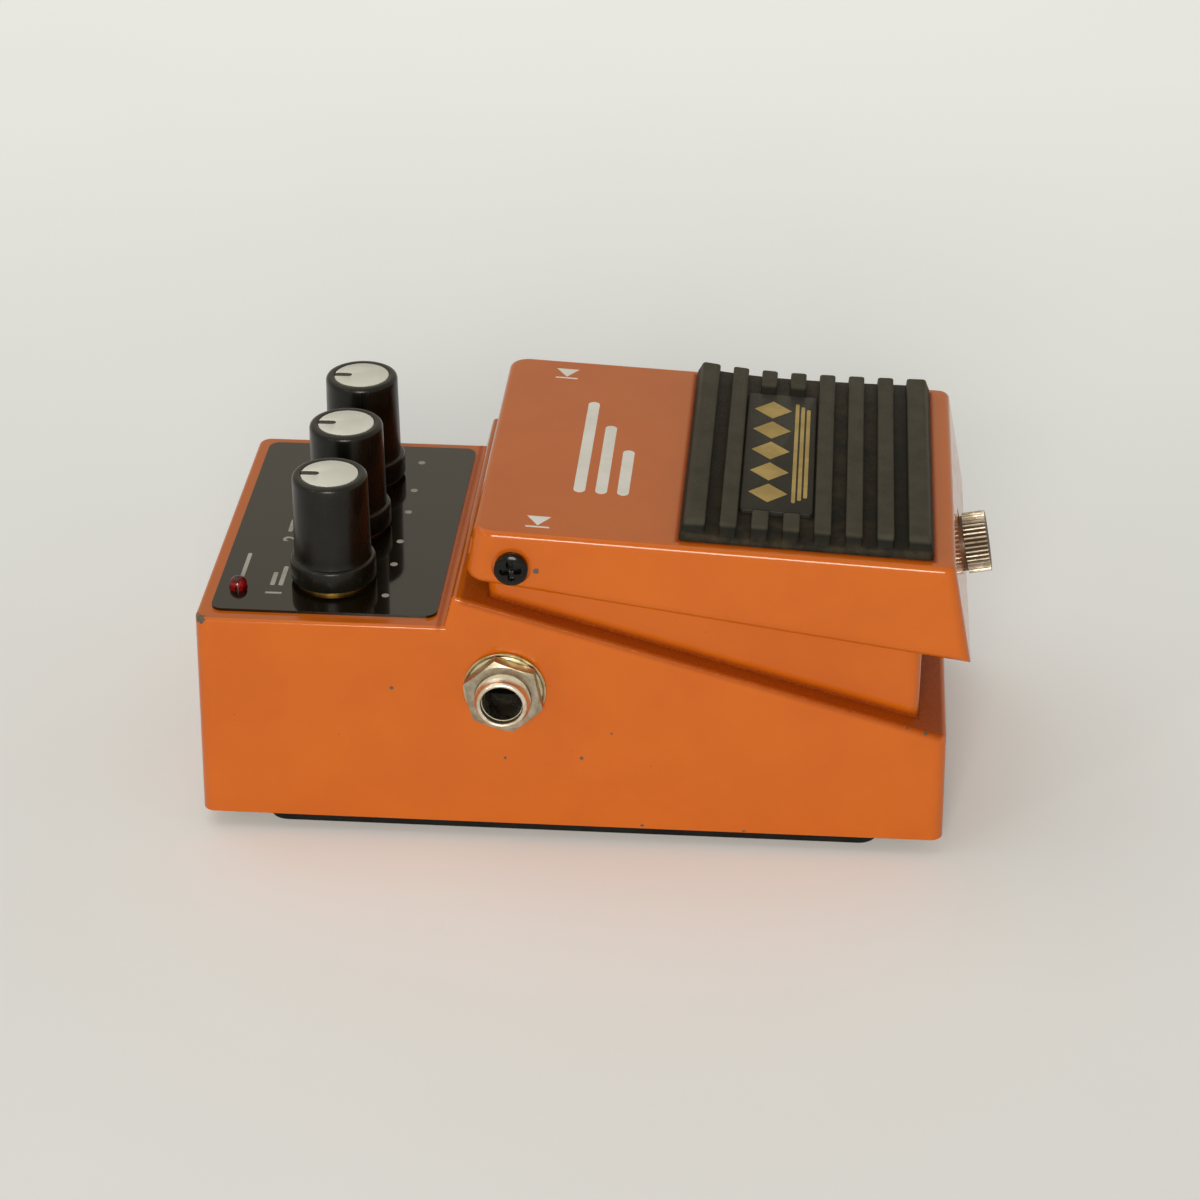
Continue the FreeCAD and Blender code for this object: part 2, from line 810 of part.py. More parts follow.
# Grommet hole for the battery leads, then the spring's peg and the switch's posts on the shelf
lead_z = shelf - S.floor_wall - S.grommet_drop - S.grommet_radius
grommet_neck = S.grommet_radius - S.grommet_lip
lead_wall = sketch(case, "XZ_Plane", -(bay_back_y + S.case_wall + 1))
pocket(case, ring(lead_wall, lead_x, lead_z, grommet_neck + S.hole_fit), S.case_wall + 2, back=True)
peg_radius = S.spring_radius - S.spring_wire / 2 - S.peg_play
pad(case, ring(sketch(case, "XY_Plane", shelf), spring_x, mechanism_y, peg_radius), S.peg_height)
switch_screws = [
    (switch_x + hand * S.switch_screw_x, mechanism_y + end * S.switch_screw_y) for hand, end in corners
]
for x, y in switch_screws:
    pad(case, ring(sketch(case, "XY_Plane", shelf), x, y, S.small_head), S.switch_post)
post_holes = sketch(case, "XY_Plane", shelf + S.switch_post)
for x, y in switch_screws:
    ring(post_holes, x, y, S.small_screw + S.hole_fit)
pocket(case, post_holes, S.small_length)

# Base plate, rubber pad and their screws
base_plate = body("base_plate", 0, 0, foot)
plate_x = half_width - rim_inset - S.hole_fit
plate_y = half_length - rim_inset - S.hole_fit
sheet_metal = rectangle(sketch(base_plate, "XY_Plane"), -plate_x, -plate_y, plate_x, plate_y)
for hand, end in corners:
    ring(sheet_metal, hand * base_screw_x, end * base_screw_y, S.base_screw_radius + S.hole_fit)
pad(base_plate, sheet_metal, S.plate_metal)

base_pad = body("base_pad")
pad_x = half_width - S.pad_side_inset
pad_y = half_length - S.pad_end_inset
rubber = rectangle(sketch(base_pad, "XY_Plane"), -pad_x, -pad_y, pad_x, pad_y)
pad(base_pad, rubber, S.pad_thickness)
soften(base_pad, S.pad_corner, lambda edge: rises(edge, 1.0))
soften(base_pad, S.pad_bevel, lambda edge: span(edge, "Z")[1] < 0.01, "Chamfer")


# A screw head's crown, and its cross recess as shares of the head's height and radius
CROWN_SHARE = 0.45
RECESS_DEPTH = 0.6
RECESS_LENGTH = 1.3
RECESS_WIDTH = 0.28


def machine_screw(x, y, z, shank, length, head, head_height, turn=UPRIGHT):
    """A round-head screw with a cross recess; its head's seat is at the given point."""
    bevel = head_height * CROWN_SHARE
    low_head = rod(0, 0, 0, head, head_height - bevel)
    crown = cone(0, 0, head_height - bevel, head, head - bevel, bevel)
    recess_foot = head_height * (1 - RECESS_DEPTH)
    arm_length = head * RECESS_LENGTH
    arm_width = head * RECESS_WIDTH
    arms = [
        block(0, 0, recess_foot, arm_length, arm_width, head_height),
        block(0, 0, recess_foot, arm_width, arm_length, head_height),
    ]
    screw = cut(fuse(low_head, crown, rod(0, 0, -length, shank, length)), *arms)
    return place(screw, x, y, z, turn)


UPSIDE_DOWN = Rotation(Vector(1, 0, 0), 180)
piece(
    group(*[
        machine_screw(
            hand * base_screw_x,
            end * base_screw_y,
            foot,
            S.base_screw_radius,
            S.base_screw_length,
            S.base_screw_head,
            S.base_head_height,
            UPSIDE_DOWN,
        )
        for hand, end in corners
    ]),
    "base_screws",
)

# Treadle, drawn from the hinge line
treadle = body("treadle", 0, hinge_y, hinge_z)
top_slope = (S.rear_rise - S.front_rise) / (S.rear_reach + front_reach)
rear_slope = (S.rear_foot_reach - S.rear_reach) / (S.rear_rise + S.rear_foot_drop)
skirt_slope = (S.front_foot_drop - S.rear_foot_drop) / (S.rear_foot_reach + front_reach + S.front_lean)
shell = outline(
    sketch(treadle, "YZ_Plane"),
    (S.rear_reach, S.rear_rise),
    (-front_reach, S.front_rise),
    (-(front_reach + S.front_lean), -S.front_foot_drop),
    (S.rear_foot_reach, -S.rear_foot_drop),
)
pad(treadle, shell, treadle_width, both=True)
flanks = sketch(treadle, "XZ_Plane")
for hand in (-1, 1):
    outline(
        flanks,
        (hand * treadle_half, -S.front_foot_drop),
        (hand * (treadle_half - S.treadle_taper), S.rear_rise),
        (hand * (treadle_half - S.treadle_taper), S.rear_rise + OVER),
        (hand * (treadle_half + OVER), S.rear_rise + OVER),
        (hand * (treadle_half + OVER), -S.front_foot_drop),
    )
pocket(treadle, flanks, front_reach * 3, both=True)
soften(treadle, S.rear_corner, lambda edge: rises(edge, 5.0) and edge.CenterOfMass.y > 0)
soften(treadle, S.front_corner, lambda edge: rises(edge, 10.0) and edge.CenterOfMass.y < 0)


def treadle_top(edge):
    """The rim of the sloping top face."""
    middle = edge.CenterOfMass
    height = S.rear_rise.value - (S.rear_reach.value - middle.y) * top_slope.value
    return abs(middle.z - height) < 0.02


soften(treadle, S.treadle_edge, treadle_top)
heel = outline(
    sketch(treadle, "YZ_Plane"),
    (S.rear_foot_reach + 1, S.heel_bevel - S.rear_foot_drop),
    (S.rear_foot_reach - S.heel_bevel * rear_slope, S.heel_bevel - S.rear_foot_drop),
    (S.rear_foot_reach - S.heel_bevel, -(S.rear_foot_drop + S.heel_bevel * skirt_slope)),
    (S.rear_foot_reach - S.heel_bevel, -(S.rear_foot_drop + 2)),
    (S.rear_foot_reach + 1, -(S.rear_foot_drop + 2)),
)
pocket(treadle, heel, treadle_width + OVER, both=True)

# Hollow underside
inner_rear_y = S.rear_reach + S.top_wall * rear_slope - S.end_wall
inner_front_y = S.end_wall - front_reach - S.top_wall * lean


def treadle_under(y):
    """Underside of the treadle's top wall, in the hinge's frame."""
    return S.rear_rise - S.top_wall - (S.rear_reach - y) * top_slope


below = S.front_foot_drop + OVER / 2
hollow = outline(
    sketch(treadle, "YZ_Plane"),
    (inner_rear_y, treadle_under(inner_rear_y)),
    (inner_front_y, treadle_under(inner_front_y)),
    (inner_front_y - below * lean, -below),
    (inner_rear_y + below * rear_slope, -below),
)
pocket(treadle, hollow, treadle_width - S.skirt_wall * 2, both=True)

# Clearance round the hinge ears, and the bush holes with their flats for the screw heads
notch_inner = bay_x - S.ear_gap
notch_outer = treadle_half - S.skirt_wall
notches = sketch(treadle, "XY_Plane", treadle_under(inner_rear_y))
for hand in (-1, 1):
    rectangle(notches, hand * notch_inner, inner_rear_y - 2, hand * notch_outer, S.rear_foot_reach + 2)
pocket(treadle, notches, below)
pocket(
    treadle,
    ring(sketch(treadle, "YZ_Plane"), 0, 0, S.bush_outer / 2 + S.hole_fit),
    treadle_width + OVER,
    both=True,
)
head_seat = treadle_half - S.treadle_taper - S.seat_depth
for hand in (-1, 1):
    flat = ring(sketch(treadle, "YZ_Plane", hand * head_seat), 0, 0, S.pan_head / 2 + S.ear_gap)
    pocket(treadle, flat, treadle_width / 10, back=hand > 0)

# Slot in the front wall that lets the treadle sink round the latched screw
wall_axis_z = -(S.thumb_drop + S.end_wall / 2 * lean)
inside_y = face_reach - S.end_wall * 2
slot = oblong(sketch(treadle, "XZ_Plane", inside_y), 0, wall_axis_z, wall_axis_z + S.press_room, slot_half)
pocket(treadle, slot, S.end_wall * 4, back=True)

# Spring seat and switch boss under the top
boss_top = treadle_under(-S.mechanism_back) + S.top_wall / 2
seat_radius = S.spring_radius + S.spring_wire
bosses = [
    (S.seat_drop, spring_x, seat_radius),
    (S.seat_drop + S.peg_height, spring_x, peg_radius),
    (S.boss_drop, switch_x, S.pusher_radius + 1),
]
for drop, x, radius in bosses:
    boss = ring(sketch(treadle, "XY_Plane", -drop), x, -S.mechanism_back, radius)
    pad(treadle, boss, boss_top + drop)

# Ribbed tread and the plate let into it, drawn on the sloping top
tilt = Rotation(Vector(1, 0, 0), math.degrees(math.atan(top_slope.value)))
tread_y = hinge_y - S.tread_start
tread_z = hinge_z + treadle_under(-S.tread_start) + S.top_wall
tread_top = S.tread_base + S.rib_height
tread_length = front_reach - S.tread_start - S.tread_front_inset
tread_x = treadle_half - S.tread_side_inset
rib_pitch = (tread_length - S.rib_back_inset - S.rib_front_inset) / (S.rib_count - 1)
tread = body("treadle_pad", 0, tread_y, tread_z, tilt)
mat = rectangle(sketch(tread, "XY_Plane"), -tread_x, -tread_length, tread_x, 0)
pad(tread, mat, tread_top)
soften(tread, S.rib_slope, lambda edge: span(edge, "Z")[0] > S.rib_height.value, "Chamfer")
first_rib_y = -S.rib_back_inset
first_groove_y = first_rib_y - rib_pitch / 2
groove_half = (rib_pitch - S.rib_width) / 2
groove_section = rectangle(
    sketch(tread, "YZ_Plane"),
    first_groove_y - groove_half,
    S.tread_base,
    first_groove_y + groove_half,
    tread_top + 1,
)
groove = pocket(tread, groove_section, tread_x * 2 + OVER, both=True)
doc.recompute()
grooves = tread.newObject("PartDesign::LinearPattern", "grooves")
grooves.Originals = [groove]
grooves.Direction = (groove_section, ["H_Axis"])
grooves.Reversed = True
bind(grooves, Length=rib_pitch * (S.rib_count - 2), Occurrences=S.rib_count - 1)
tread.Tip = grooves
plate_y_middle = first_rib_y - rib_pitch * 2.5
plate_half_y = rib_pitch * 1.5 - S.rib_width / 2
plate_room = outline(
    sketch(tread, "XZ_Plane", -(plate_y_middle + plate_half_y)),
    (-(S.plate_length / 2 + S.plate_gap), S.tread_base),
    (S.plate_length / 2 + S.plate_gap, S.tread_base),
    (S.plate_length / 2 + S.plate_gap + S.rib_height, tread_top),
    (S.plate_length / 2 + S.plate_gap + S.rib_height, tread_top + 1),
    (-(S.plate_length / 2 + S.plate_gap + S.rib_height), tread_top + 1),
    (-(S.plate_length / 2 + S.plate_gap + S.rib_height), tread_top),
)
pocket(tread, plate_room, plate_half_y * 2, back=True)

plate = body("tread_plate", 0, tread_y, tread_z, tilt)
plate_face = rectangle(
    sketch(plate, "XY_Plane", S.tread_base),
    -S.plate_length / 2,
    plate_y_middle - plate_half_y + S.plate_gap,
    S.plate_length / 2,
    plate_y_middle + plate_half_y - S.plate_gap,
)
pad(plate, plate_face, S.plate_thickness)
soften(plate, S.plate_gap, lambda edge: span(edge, "Z")[0] > S.tread_base.value + S.plate_thickness.value / 2)

# Hinge screws and bushes
for name, hand, turn in (("left", -1, AGAINST_X), ("right", 1, ALONG_X)):
    head_x = treadle_half - S.treadle_taper + S.head_stand
    screw_length = head_x - bay_x - S.hole_fit
    piece(
        machine_screw(
            hand * head_x, hinge_y, hinge_z, S.hinge_pin / 2, screw_length, S.pan_head / 2, S.pan_height, turn
        ),
        "pivot_screw_" + name,
    )
    sleeve_length = head_x - ear_x - S.pin_play * 2
    sleeve = rod(hand * (ear_x + S.pin_play), hinge_y, hinge_z, S.bush_outer / 2, sleeve_length, turn)
    flange_x = treadle_half - S.skirt_wall - S.flange_thickness
    flange = rod(hand * flange_x, hinge_y, hinge_z, S.bush_flange / 2, S.flange_thickness, turn)
    bore = rod(hand * (ear_x - 1), hinge_y, hinge_z, S.hinge_pin / 2 + S.pin_play, head_x, turn)
    piece(cut(fuse(sleeve, flange), bore), "pivot_bush_" + name)

# Thumbscrew, its washer and the barrel nut that it draws against the box wall
screw_turn = Rotation(Vector(1, 0, 0), 90 - lean_angle)
thumbscrew = body("thumbscrew", 0, thumb_y, thumb_z, screw_turn)
head_face = ring(sketch(thumbscrew, "XY_Plane", S.washer_thickness), 0, 0, S.thumb_head / 2)
pad(thumbscrew, head_face, S.thumb_depth)
soften(thumbscrew, S.knurl_depth, lambda edge: True, "Chamfer")
head_rim = S.thumb_head / 2
knurl_profile = outline(
    sketch(thumbscrew, "XY_Plane", S.washer_thickness),
    (head_rim - S.knurl_depth, 0),
    (head_rim + 0.2, S.knurl_depth + 0.1),
    (head_rim + 0.2, -(S.knurl_depth + 0.1)),
)
knurl = pocket(thumbscrew, knurl_profile, S.thumb_depth, back=True)
doc.recompute()
knurls = thumbscrew.newObject("PartDesign::PolarPattern", "knurls")
knurls.Originals = [knurl]
knurls.Axis = (knurl_profile, ["N_Axis"])
knurls.Angle = 360
bind(knurls, Occurrences=S.knurl_count)
thumbscrew.Tip = knurls
shank = ring(sketch(thumbscrew, "XY_Plane", -S.thumb_length), 0, 0, S.thumb_shank / 2)
pad(thumbscrew, shank, S.thumb_length + S.washer_thickness + S.thumb_depth / 2)

washer = cut(
    rod(0, 0, 0, S.washer_outer / 2, S.washer_thickness),
    rod(0, 0, -1, S.thumb_shank / 2 + S.shank_play, S.washer_thickness + 2),
)
piece(place(washer, 0, thumb_y, thumb_z, screw_turn), "thumbscrew_washer")
nut_hole = rod(0, 0, -S.latch_radius * 2, S.thumb_shank / 2 + S.pin_play, S.latch_radius * 4)
barrel = rod(-S.latch_length / 2, 0, 0, S.latch_radius, S.latch_length, ALONG_X)
piece(place(cut(barrel, nut_hole), 0, latch_y, latch_z, screw_turn), "latch_nut")

# Return spring


def arc_between(start, knee, end):
    """The arc that leaves start towards knee and reaches end from it, both runs alike."""
    middle = (start + end) * 0.5
    half_chord = start.distanceToPoint(middle)
    rise = knee.distanceToPoint(middle)
    sagitta = half_chord * math.tan(math.atan2(rise, half_chord) / 2)
    crest = middle + (knee - middle).normalize() * sagitta
    return Part.Arc(start, crest, end).toShape()


def biarc(start, heading, end, arrival):
    """Two arcs that join smoothly between two points with their headings."""
    chord = end - start
    along = chord.dot(heading + arrival)
    turn = 2 * (1 - heading.dot(arrival))
    reach = (math.sqrt(along * along + turn * chord.dot(chord)) - along) / turn
    first_knee = start + heading * reach
    second_knee = end - arrival * reach
    joint = (first_knee + second_knee) * 0.5
    return [arc_between(start, first_knee, joint), arc_between(joint, second_knee, end)]


def pipe(edges, radius):
    """A round wire along smooth edges."""
    path = Part.Wire(edges)
    first = path.Edges[0]
    start = first.valueAt(first.FirstParameter)
    ahead = first.tangentAt(first.FirstParameter)
    section = Part.Wire(Part.Circle(start, ahead, radius).toShape())
    return path.makePipeShell([section], True, False)


spring_height = S.shelf_drop - S.seat_drop - S.spring_gap
END_PITCH = 1.5                   # end coils rise by this many wires a turn


def spring_point(turns):
    """A point of the spring's centre line, its coils closer together at both ends."""
    share = turns / S.spring_turns.value
    level = S.spring_wire.value * END_PITCH * turns
    spare = spring_height.value - S.spring_wire.value * END_PITCH * S.spring_turns.value
    height = level + spare * share * share * (3 - 2 * share)
    angle = 2 * math.pi * turns
    radius = S.spring_radius.value
    return Vector(radius * math.cos(angle), radius * math.sin(angle), height)


def spring_heading(turns):
    step = 0.001
    return (spring_point(turns + step) - spring_point(turns - step)).normalize()


STEPS_A_TURN = 2
steps = [i / STEPS_A_TURN for i in range(int(S.spring_turns.value * STEPS_A_TURN) + 1)]
coil = []
for start, end in zip(steps, steps[1:]):
    coil += biarc(spring_point(start), spring_heading(start), spring_point(end), spring_heading(end))
wire = pipe(coil, S.spring_wire.value / 2)
ground = Part.makeCylinder(S.spring_radius.value * 2, spring_height.value)
spring = doc.addObject("Part::Feature", "return_spring")
spring.Shape = wire.common(ground).Solids[0]
piece(place(spring, spring_x, mechanism_y, shelf), "return_spring")
rises_a_turn = [spring_point(t + 1).z - spring_point(t).z for t in steps if t + 1 <= S.spring_turns.value]
print("spring's least gap %.2f" % (min(rises_a_turn) - S.spring_wire.value))

# Foot switch on its board, and the rubber pusher under the treadle
switch_board = body("switch_board", switch_x, mechanism_y, shelf + S.switch_post)
board_shape = rectangle(
    sketch(switch_board, "XY_Plane"),
    -S.switch_board_length / 2,
    -S.switch_board_width / 2,
    S.switch_board_length / 2,
    S.switch_board_width / 2,
)
for hand, end in corners:
    ring(board_shape, hand * S.switch_screw_x, end * S.switch_screw_y, S.small_screw + S.hole_fit)
pad(switch_board, board_shape, S.board_thickness)
switch_foot = shelf + S.switch_post + S.board_thickness
switch_top = switch_foot + S.switch_body
piece(
    group(*[
        machine_screw(x, y, switch_foot, S.small_screw, S.small_length, S.small_head, S.small_head_height)
        for x, y in switch_screws
    ]),
    "switch_board_screws",
)
housing = rounded(
    block(switch_x, mechanism_y, switch_foot, S.switch_size, S.switch_size, S.switch_body),
    S.switch_corner,
    lambda edge: rises(edge, 4.0),
)
well_depth = S.plunger_depth + S.plunger_travel
well = rod(switch_x, mechanism_y, switch_top - well_depth, S.plunger_radius + S.pin_play, well_depth + 1)
piece(cut(housing, well), "foot_switch")
plunger_length = S.plunger_depth + S.plunger_rise
piece(
    rod(switch_x, mechanism_y, switch_top - S.plunger_depth, S.plunger_radius, plunger_length),
    "switch_plunger",
)
pusher_foot = switch_top + S.plunger_rise + S.pusher_gap
piece(
    rod(switch_x, mechanism_y, pusher_foot, S.pusher_radius, hinge_z - S.boss_drop - pusher_foot),
    "switch_pusher",
)

# Control panel
panel = body("control_panel", 0, 0, deck)
panel_back_y = half_length - S.panel_inset
panel_front_y = ridge_foot_y + S.panel_front_gap
panel_shape = rectangle(sketch(panel, "XY_Plane"), -panel_x, panel_front_y, panel_x, panel_back_y)
for x in knob_xs.values():
    ring(panel_shape, x, knob_y, S.bushing_radius + S.hole_fit)
ring(panel_shape, lamp_x, lamp_y, S.lamp_radius + S.hole_fit)
pad(panel, panel_shape, S.panel_thickness)
soften(panel, S.panel_corner, lambda edge: rises(edge, 0.3) and abs(edge.CenterOfMass.x) > panel_x.value - 1)

# Check lamp with its two legs down to the board
lamp = body("check_led", lamp_x, lamp_y, 0)
lamp_top = panel_top + S.lamp_rise
lamp_shape = outline(
    sketch(lamp, "XZ_Plane"),
    (0, deck_under - S.lamp_collar),
    (S.lamp_flange, deck_under - S.lamp_collar),
    (S.lamp_flange, deck_under),
    (S.lamp_radius, deck_under),
    (S.lamp_radius, lamp_top),
    (0, lamp_top),
)
revolve(lamp, lamp_shape)
soften(lamp, S.lamp_radius * 0.8, lambda edge: span(edge, "Z")[0] > lamp_top.value - 0.1)
for hand in (-1, 1):
    leg = ring(sketch(lamp, "XY_Plane", board_top), hand * S.lamp_radius * 0.8, 0, S.lamp_radius / 5)
    pad(lamp, leg, deck_under - S.lamp_collar / 2 - board_top)


# Top radius of a nut's bevel as a share of its width, and the bevel's run for its height
NUT_FLAT_SHARE = 0.52
NUT_BEVEL_RUN = 1.7


def hex_nut(x, y, z, width, height, bore, turn=UPRIGHT):
    """A hexagonal nut with its outer corners bevelled."""
    flat_radius = width * NUT_FLAT_SHARE
    bevel = cone(0, 0, 0, flat_radius + height * NUT_BEVEL_RUN, flat_radius, height)
    blank = common(nut_blank(0, 0, 0, width, height), bevel)
    return place(cut(blank, rod(0, 0, -1, bore, height + 2)), x, y, z, turn)


# Potentiometers with their washers, nuts, knobs and white knob caps
knob_foot = panel_top + S.knob_gap
shaft_top = panel_top + S.shaft_rise
shaft_foot = board_top + S.shaft_floor
hollow_radius = S.pot_nut_width / math.sqrt(3) + S.nut_room
hollow_top = S.bushing_rise - S.knob_gap + S.bushing_room
for name, x in knob_xs.items():
    x = as_size(x)
    can = rod(x, knob_y, board_top, S.pot_radius, S.pot_height)
    bushing = rod(x, knob_y, deck_under - 1, S.bushing_radius, panel_top + S.bushing_rise - deck_under + 1)
    lug_y = knob_y - S.pot_radius
    lugs = [
        block(x + step * S.lug_pitch, lug_y, board_top, S.lug_width, S.lug_reach * 2, S.lug_thickness)
        for step in (-1, 0, 1)
    ]
    shaft_hole = rod(x, knob_y, shaft_foot, S.shaft_radius + S.pin_play, S.shaft_rise + S.pot_height * 2)
    piece(cut(fuse(can, bushing, *lugs), shaft_hole), name + "_pot")
    shaft = rod(x, knob_y, shaft_foot, S.shaft_radius, shaft_top - shaft_foot)
    split = block(x, knob_y, shaft_top - S.shaft_split, S.shaft_radius * 3, S.split_width, S.shaft_split + 1)
    piece(cut(shaft, split), name + "_pot_shaft")
    neck_hole = S.bushing_radius + S.hole_fit
    lock_washer = cut(
        rod(x, knob_y, panel_top, S.pot_washer_radius, S.pot_washer),
        rod(x, knob_y, panel_top - 1, neck_hole, S.pot_washer + 2),
    )
    piece(lock_washer, name + "_pot_washer")
    nut_z = panel_top + S.pot_washer
    piece(hex_nut(x, knob_y, nut_z, S.pot_nut_width, S.pot_nut, neck_hole), name + "_pot_nut")

    knob = body(name + "_knob", x, knob_y, knob_foot)
    inlay_z = S.knob_height - S.inlay_depth
    socket_z = shaft_top - knob_foot + S.hole_fit * 3
    knob_shape = outline(
        sketch(knob, "XZ_Plane"),
        (hollow_radius, 0),
        (S.skirt_radius, 0),
        (S.skirt_radius, S.skirt_height),
        (S.knob_radius + S.knob_taper, S.skirt_height),
        (S.knob_radius - S.knob_taper, S.knob_height),
        (S.inlay_radius, S.knob_height),
        (S.inlay_radius, inlay_z),
        (0, inlay_z),
        (0, socket_z),
        (S.shaft_radius + S.hole_fit, socket_z),
        (S.shaft_radius + S.hole_fit, hollow_top),
        (hollow_radius, hollow_top),
    )
    revolve(knob, knob_shape)

    def outer_rim(edge):
        round_top = abs(span(edge, "Z")[0] - S.knob_height.value) < 0.01
        return round_top and span(edge, "X")[1] > S.inlay_radius.value + 0.1

    def skirt_rim(edge):
        at_rim = abs(span(edge, "Z")[0] - S.skirt_height.value) < 0.01
        return at_rim and span(edge, "X")[1] > S.skirt_radius.value - 0.1

    soften(knob, S.knob_edge, outer_rim)
    soften(knob, S.knob_edge * 0.7, skirt_rim, "Chamfer")

    cap = body(name + "_knob_cap", x, knob_y, knob_foot + inlay_z)
    pad(cap, ring(sketch(cap, "XY_Plane"), 0, 0, S.inlay_radius - S.hole_fit / 2), S.inlay_depth)
    pointer = rectangle(
        sketch(cap, "XY_Plane", S.inlay_depth / 2),
        -S.pointer_width / 2,
        S.inlay_radius - S.pointer_length,
        S.pointer_width / 2,
        S.inlay_radius + 1,
    )
    pocket(cap, pointer, S.inlay_depth, back=True)

# Quarter-inch jacks, output on the left and input on the right
wall_x = half_width - S.case_wall
jack_tip = half_width + S.jack_reach
jack_bore_length = jack_tip - wall_x + S.jack_body_length - S.jack_end_wall
for name, hand, turn in (("output", -1, AGAINST_X), ("input", 1, ALONG_X)):
    shell_x = hand * (wall_x - S.jack_body_length / 2)
    shell_foot = jack_z - S.jack_body_height / 2
    shell = block(shell_x, jack_y, shell_foot, S.jack_body_length, S.jack_body_width, S.jack_body_height)
    bushing = rod(hand * (wall_x - 1), jack_y, jack_z, S.jack_bushing / 2, jack_tip - wall_x + 1, turn)
    bore_x = hand * (jack_tip - jack_bore_length)
    bore_radius = S.jack_bore / 2
    bore = rod(bore_x, jack_y, jack_z, bore_radius, jack_bore_length + 1, turn)
    mouth_x = hand * (jack_tip - S.jack_mouth)
    mouth = cone(mouth_x, jack_y, jack_z, bore_radius, bore_radius + S.jack_mouth, S.jack_mouth, turn)
    piece(cut(fuse(shell, bushing), bore, mouth), name + "_jack")
    seat_x = side_at(jack_z - S.jack_washer_outer / 2)
    ring_blank = rod(hand * seat_x, jack_y, jack_z, S.jack_washer_outer / 2, S.jack_washer, turn)
    neck_hole = S.jack_bushing / 2 + S.hole_fit
    ring_hole = rod(hand * (seat_x - 1), jack_y, jack_z, neck_hole, S.jack_washer + 2, turn)
    piece(cut(ring_blank, ring_hole), name + "_jack_washer")
    nut_x = hand * (seat_x + S.jack_washer)
    piece(hex_nut(nut_x, jack_y, jack_z, S.jack_nut_width, S.jack_nut, neck_hole, turn), name + "_jack_nut")

# Power jack in the back wall, with its centre pin
inner_back_y = half_length - S.case_wall
outer_back_y = half_length - S.end_taper * (S.power_height - S.power_nut_outer / 2) / S.case_height
power_tip_y = half_length + S.power_reach
power_shell = block(
    0, inner_back_y - S.power_body / 2, power_z - S.power_body / 2, S.power_body, S.power_body, S.power_body
)
power_neck = rod(0, inner_back_y - 1, power_z, S.power_barrel / 2, power_tip_y - inner_back_y + 1, ALONG_Y)
power_bore = rod(0, power_tip_y - S.power_depth, power_z, S.power_bore / 2, S.power_depth + 1, ALONG_Y)
power_pin = rod(0, power_tip_y - S.power_depth - 1, power_z, S.power_pin / 2, S.power_depth, ALONG_Y)
piece(fuse(cut(fuse(power_shell, power_neck), power_bore), power_pin), "dc_jack")
nut_ring = cut(
    rod(0, outer_back_y, power_z, S.power_nut_outer / 2, S.power_nut, ALONG_Y),
    rod(0, outer_back_y - 1, power_z, S.power_barrel / 2 + S.hole_fit, S.power_nut + 2, ALONG_Y),
)
piece(nut_ring, "dc_jack_nut")

# Main board with its chips and capacitors on the underside
board_foot = board_top - S.board_thickness
main_board = body("main_board", 0, 0, board_foot)
main_shape = rectangle(sketch(main_board, "XY_Plane"), -board_x, board_front_y, board_x, board_back_y)
for x, y in board_posts:
    ring(main_shape, x, y, S.small_screw + S.hole_fit)
pad(main_board, main_shape, S.board_thickness)
piece(
    group(*[
        machine_screw(
            x,
            y,
            board_foot,
            S.small_screw,
            S.small_length,
            S.small_head,
            S.small_head_height,
            UPSIDE_DOWN,
        )
        for x, y in board_posts
    ]),
    "board_screws",
)
chip_x = board_x - S.chip_edge - S.chip_length / 2
row_pitch = (S.board_length - S.chip_front - S.chip_back) / 2
chip_rows = [board_front_y + S.chip_front + row_pitch * row for row in range(3)]
chip_places = [(-chip_x, y) for y in chip_rows] + [(chip_x, y) for y in chip_rows[1:]]
piece(
    group(*[
        block(x, y, board_foot - S.chip_height, S.chip_length, S.chip_width, S.chip_height)
        for x, y in chip_places
    ]),
    "board_chips",
)
# Left of each column of capacitors, as a share of the spare room between the chips
CAPACITOR_SHARES = (4 / 7, 5.5 / 7)
chip_room = (chip_x - S.chip_length / 2) * 2
capacitor_spare = chip_room - S.capacitor_radius * 4
capacitor_places = [
    (
        capacitor_spare * share - chip_room / 2 + S.capacitor_radius * (across * 2 + 1),
        chip_rows[0] + S.capacitor_radius * (along * 2.8 - 1),
    )
    for across, share in enumerate(CAPACITOR_SHARES)
    for along in (0, 1)
]
piece(
    group(*[
        rod(x, y, board_foot - S.capacitor_height, S.capacitor_radius, S.capacitor_height)
        for x, y in capacitor_places
    ]),
    "board_capacitors",
)

# Battery on its foam, with its snap, leads and grommet
battery_length = bay_x * 2 - S.battery_side_gap - S.snap_room
battery_width = bay_back_y - S.battery_gap - S.latch_room - bay_front_y
battery_x = S.battery_side_gap - bay_x + battery_length / 2
battery_end_x = bay_x - S.snap_room
battery_y = bay_back_y - S.battery_gap - battery_width / 2
battery_z = battery_foot + S.battery_height / 2
cell = rounded(
    block(battery_x, battery_y, battery_foot, battery_length, battery_width, S.battery_height),
    S.battery_edge,
    lambda edge: span(edge, "X")[1] - span(edge, "X")[0] > battery_length.value / 2,
)
stud_ys = [battery_y + side * S.terminal_spread / 2 for side in (-1, 1)]
studs = [
    rod(battery_end_x, y, battery_z, radius, S.terminal_height, ALONG_X)
    for y, radius in zip(stud_ys, (S.terminal_radius, S.terminal_radius + 0.6))
]
piece(fuse(cell, *studs), "battery")
snap_x = battery_end_x + S.snap_gap
snap_shell = block(
    snap_x + S.snap_thickness / 2,
    battery_y,
    battery_foot + 1,
    S.snap_thickness,
    battery_width - 2,
    S.battery_height - 2,
)
snap_holes = [
    rod(battery_end_x, y, battery_z, S.terminal_radius + 1, S.terminal_height + S.hole_fit, ALONG_X)
    for y in stud_ys
]
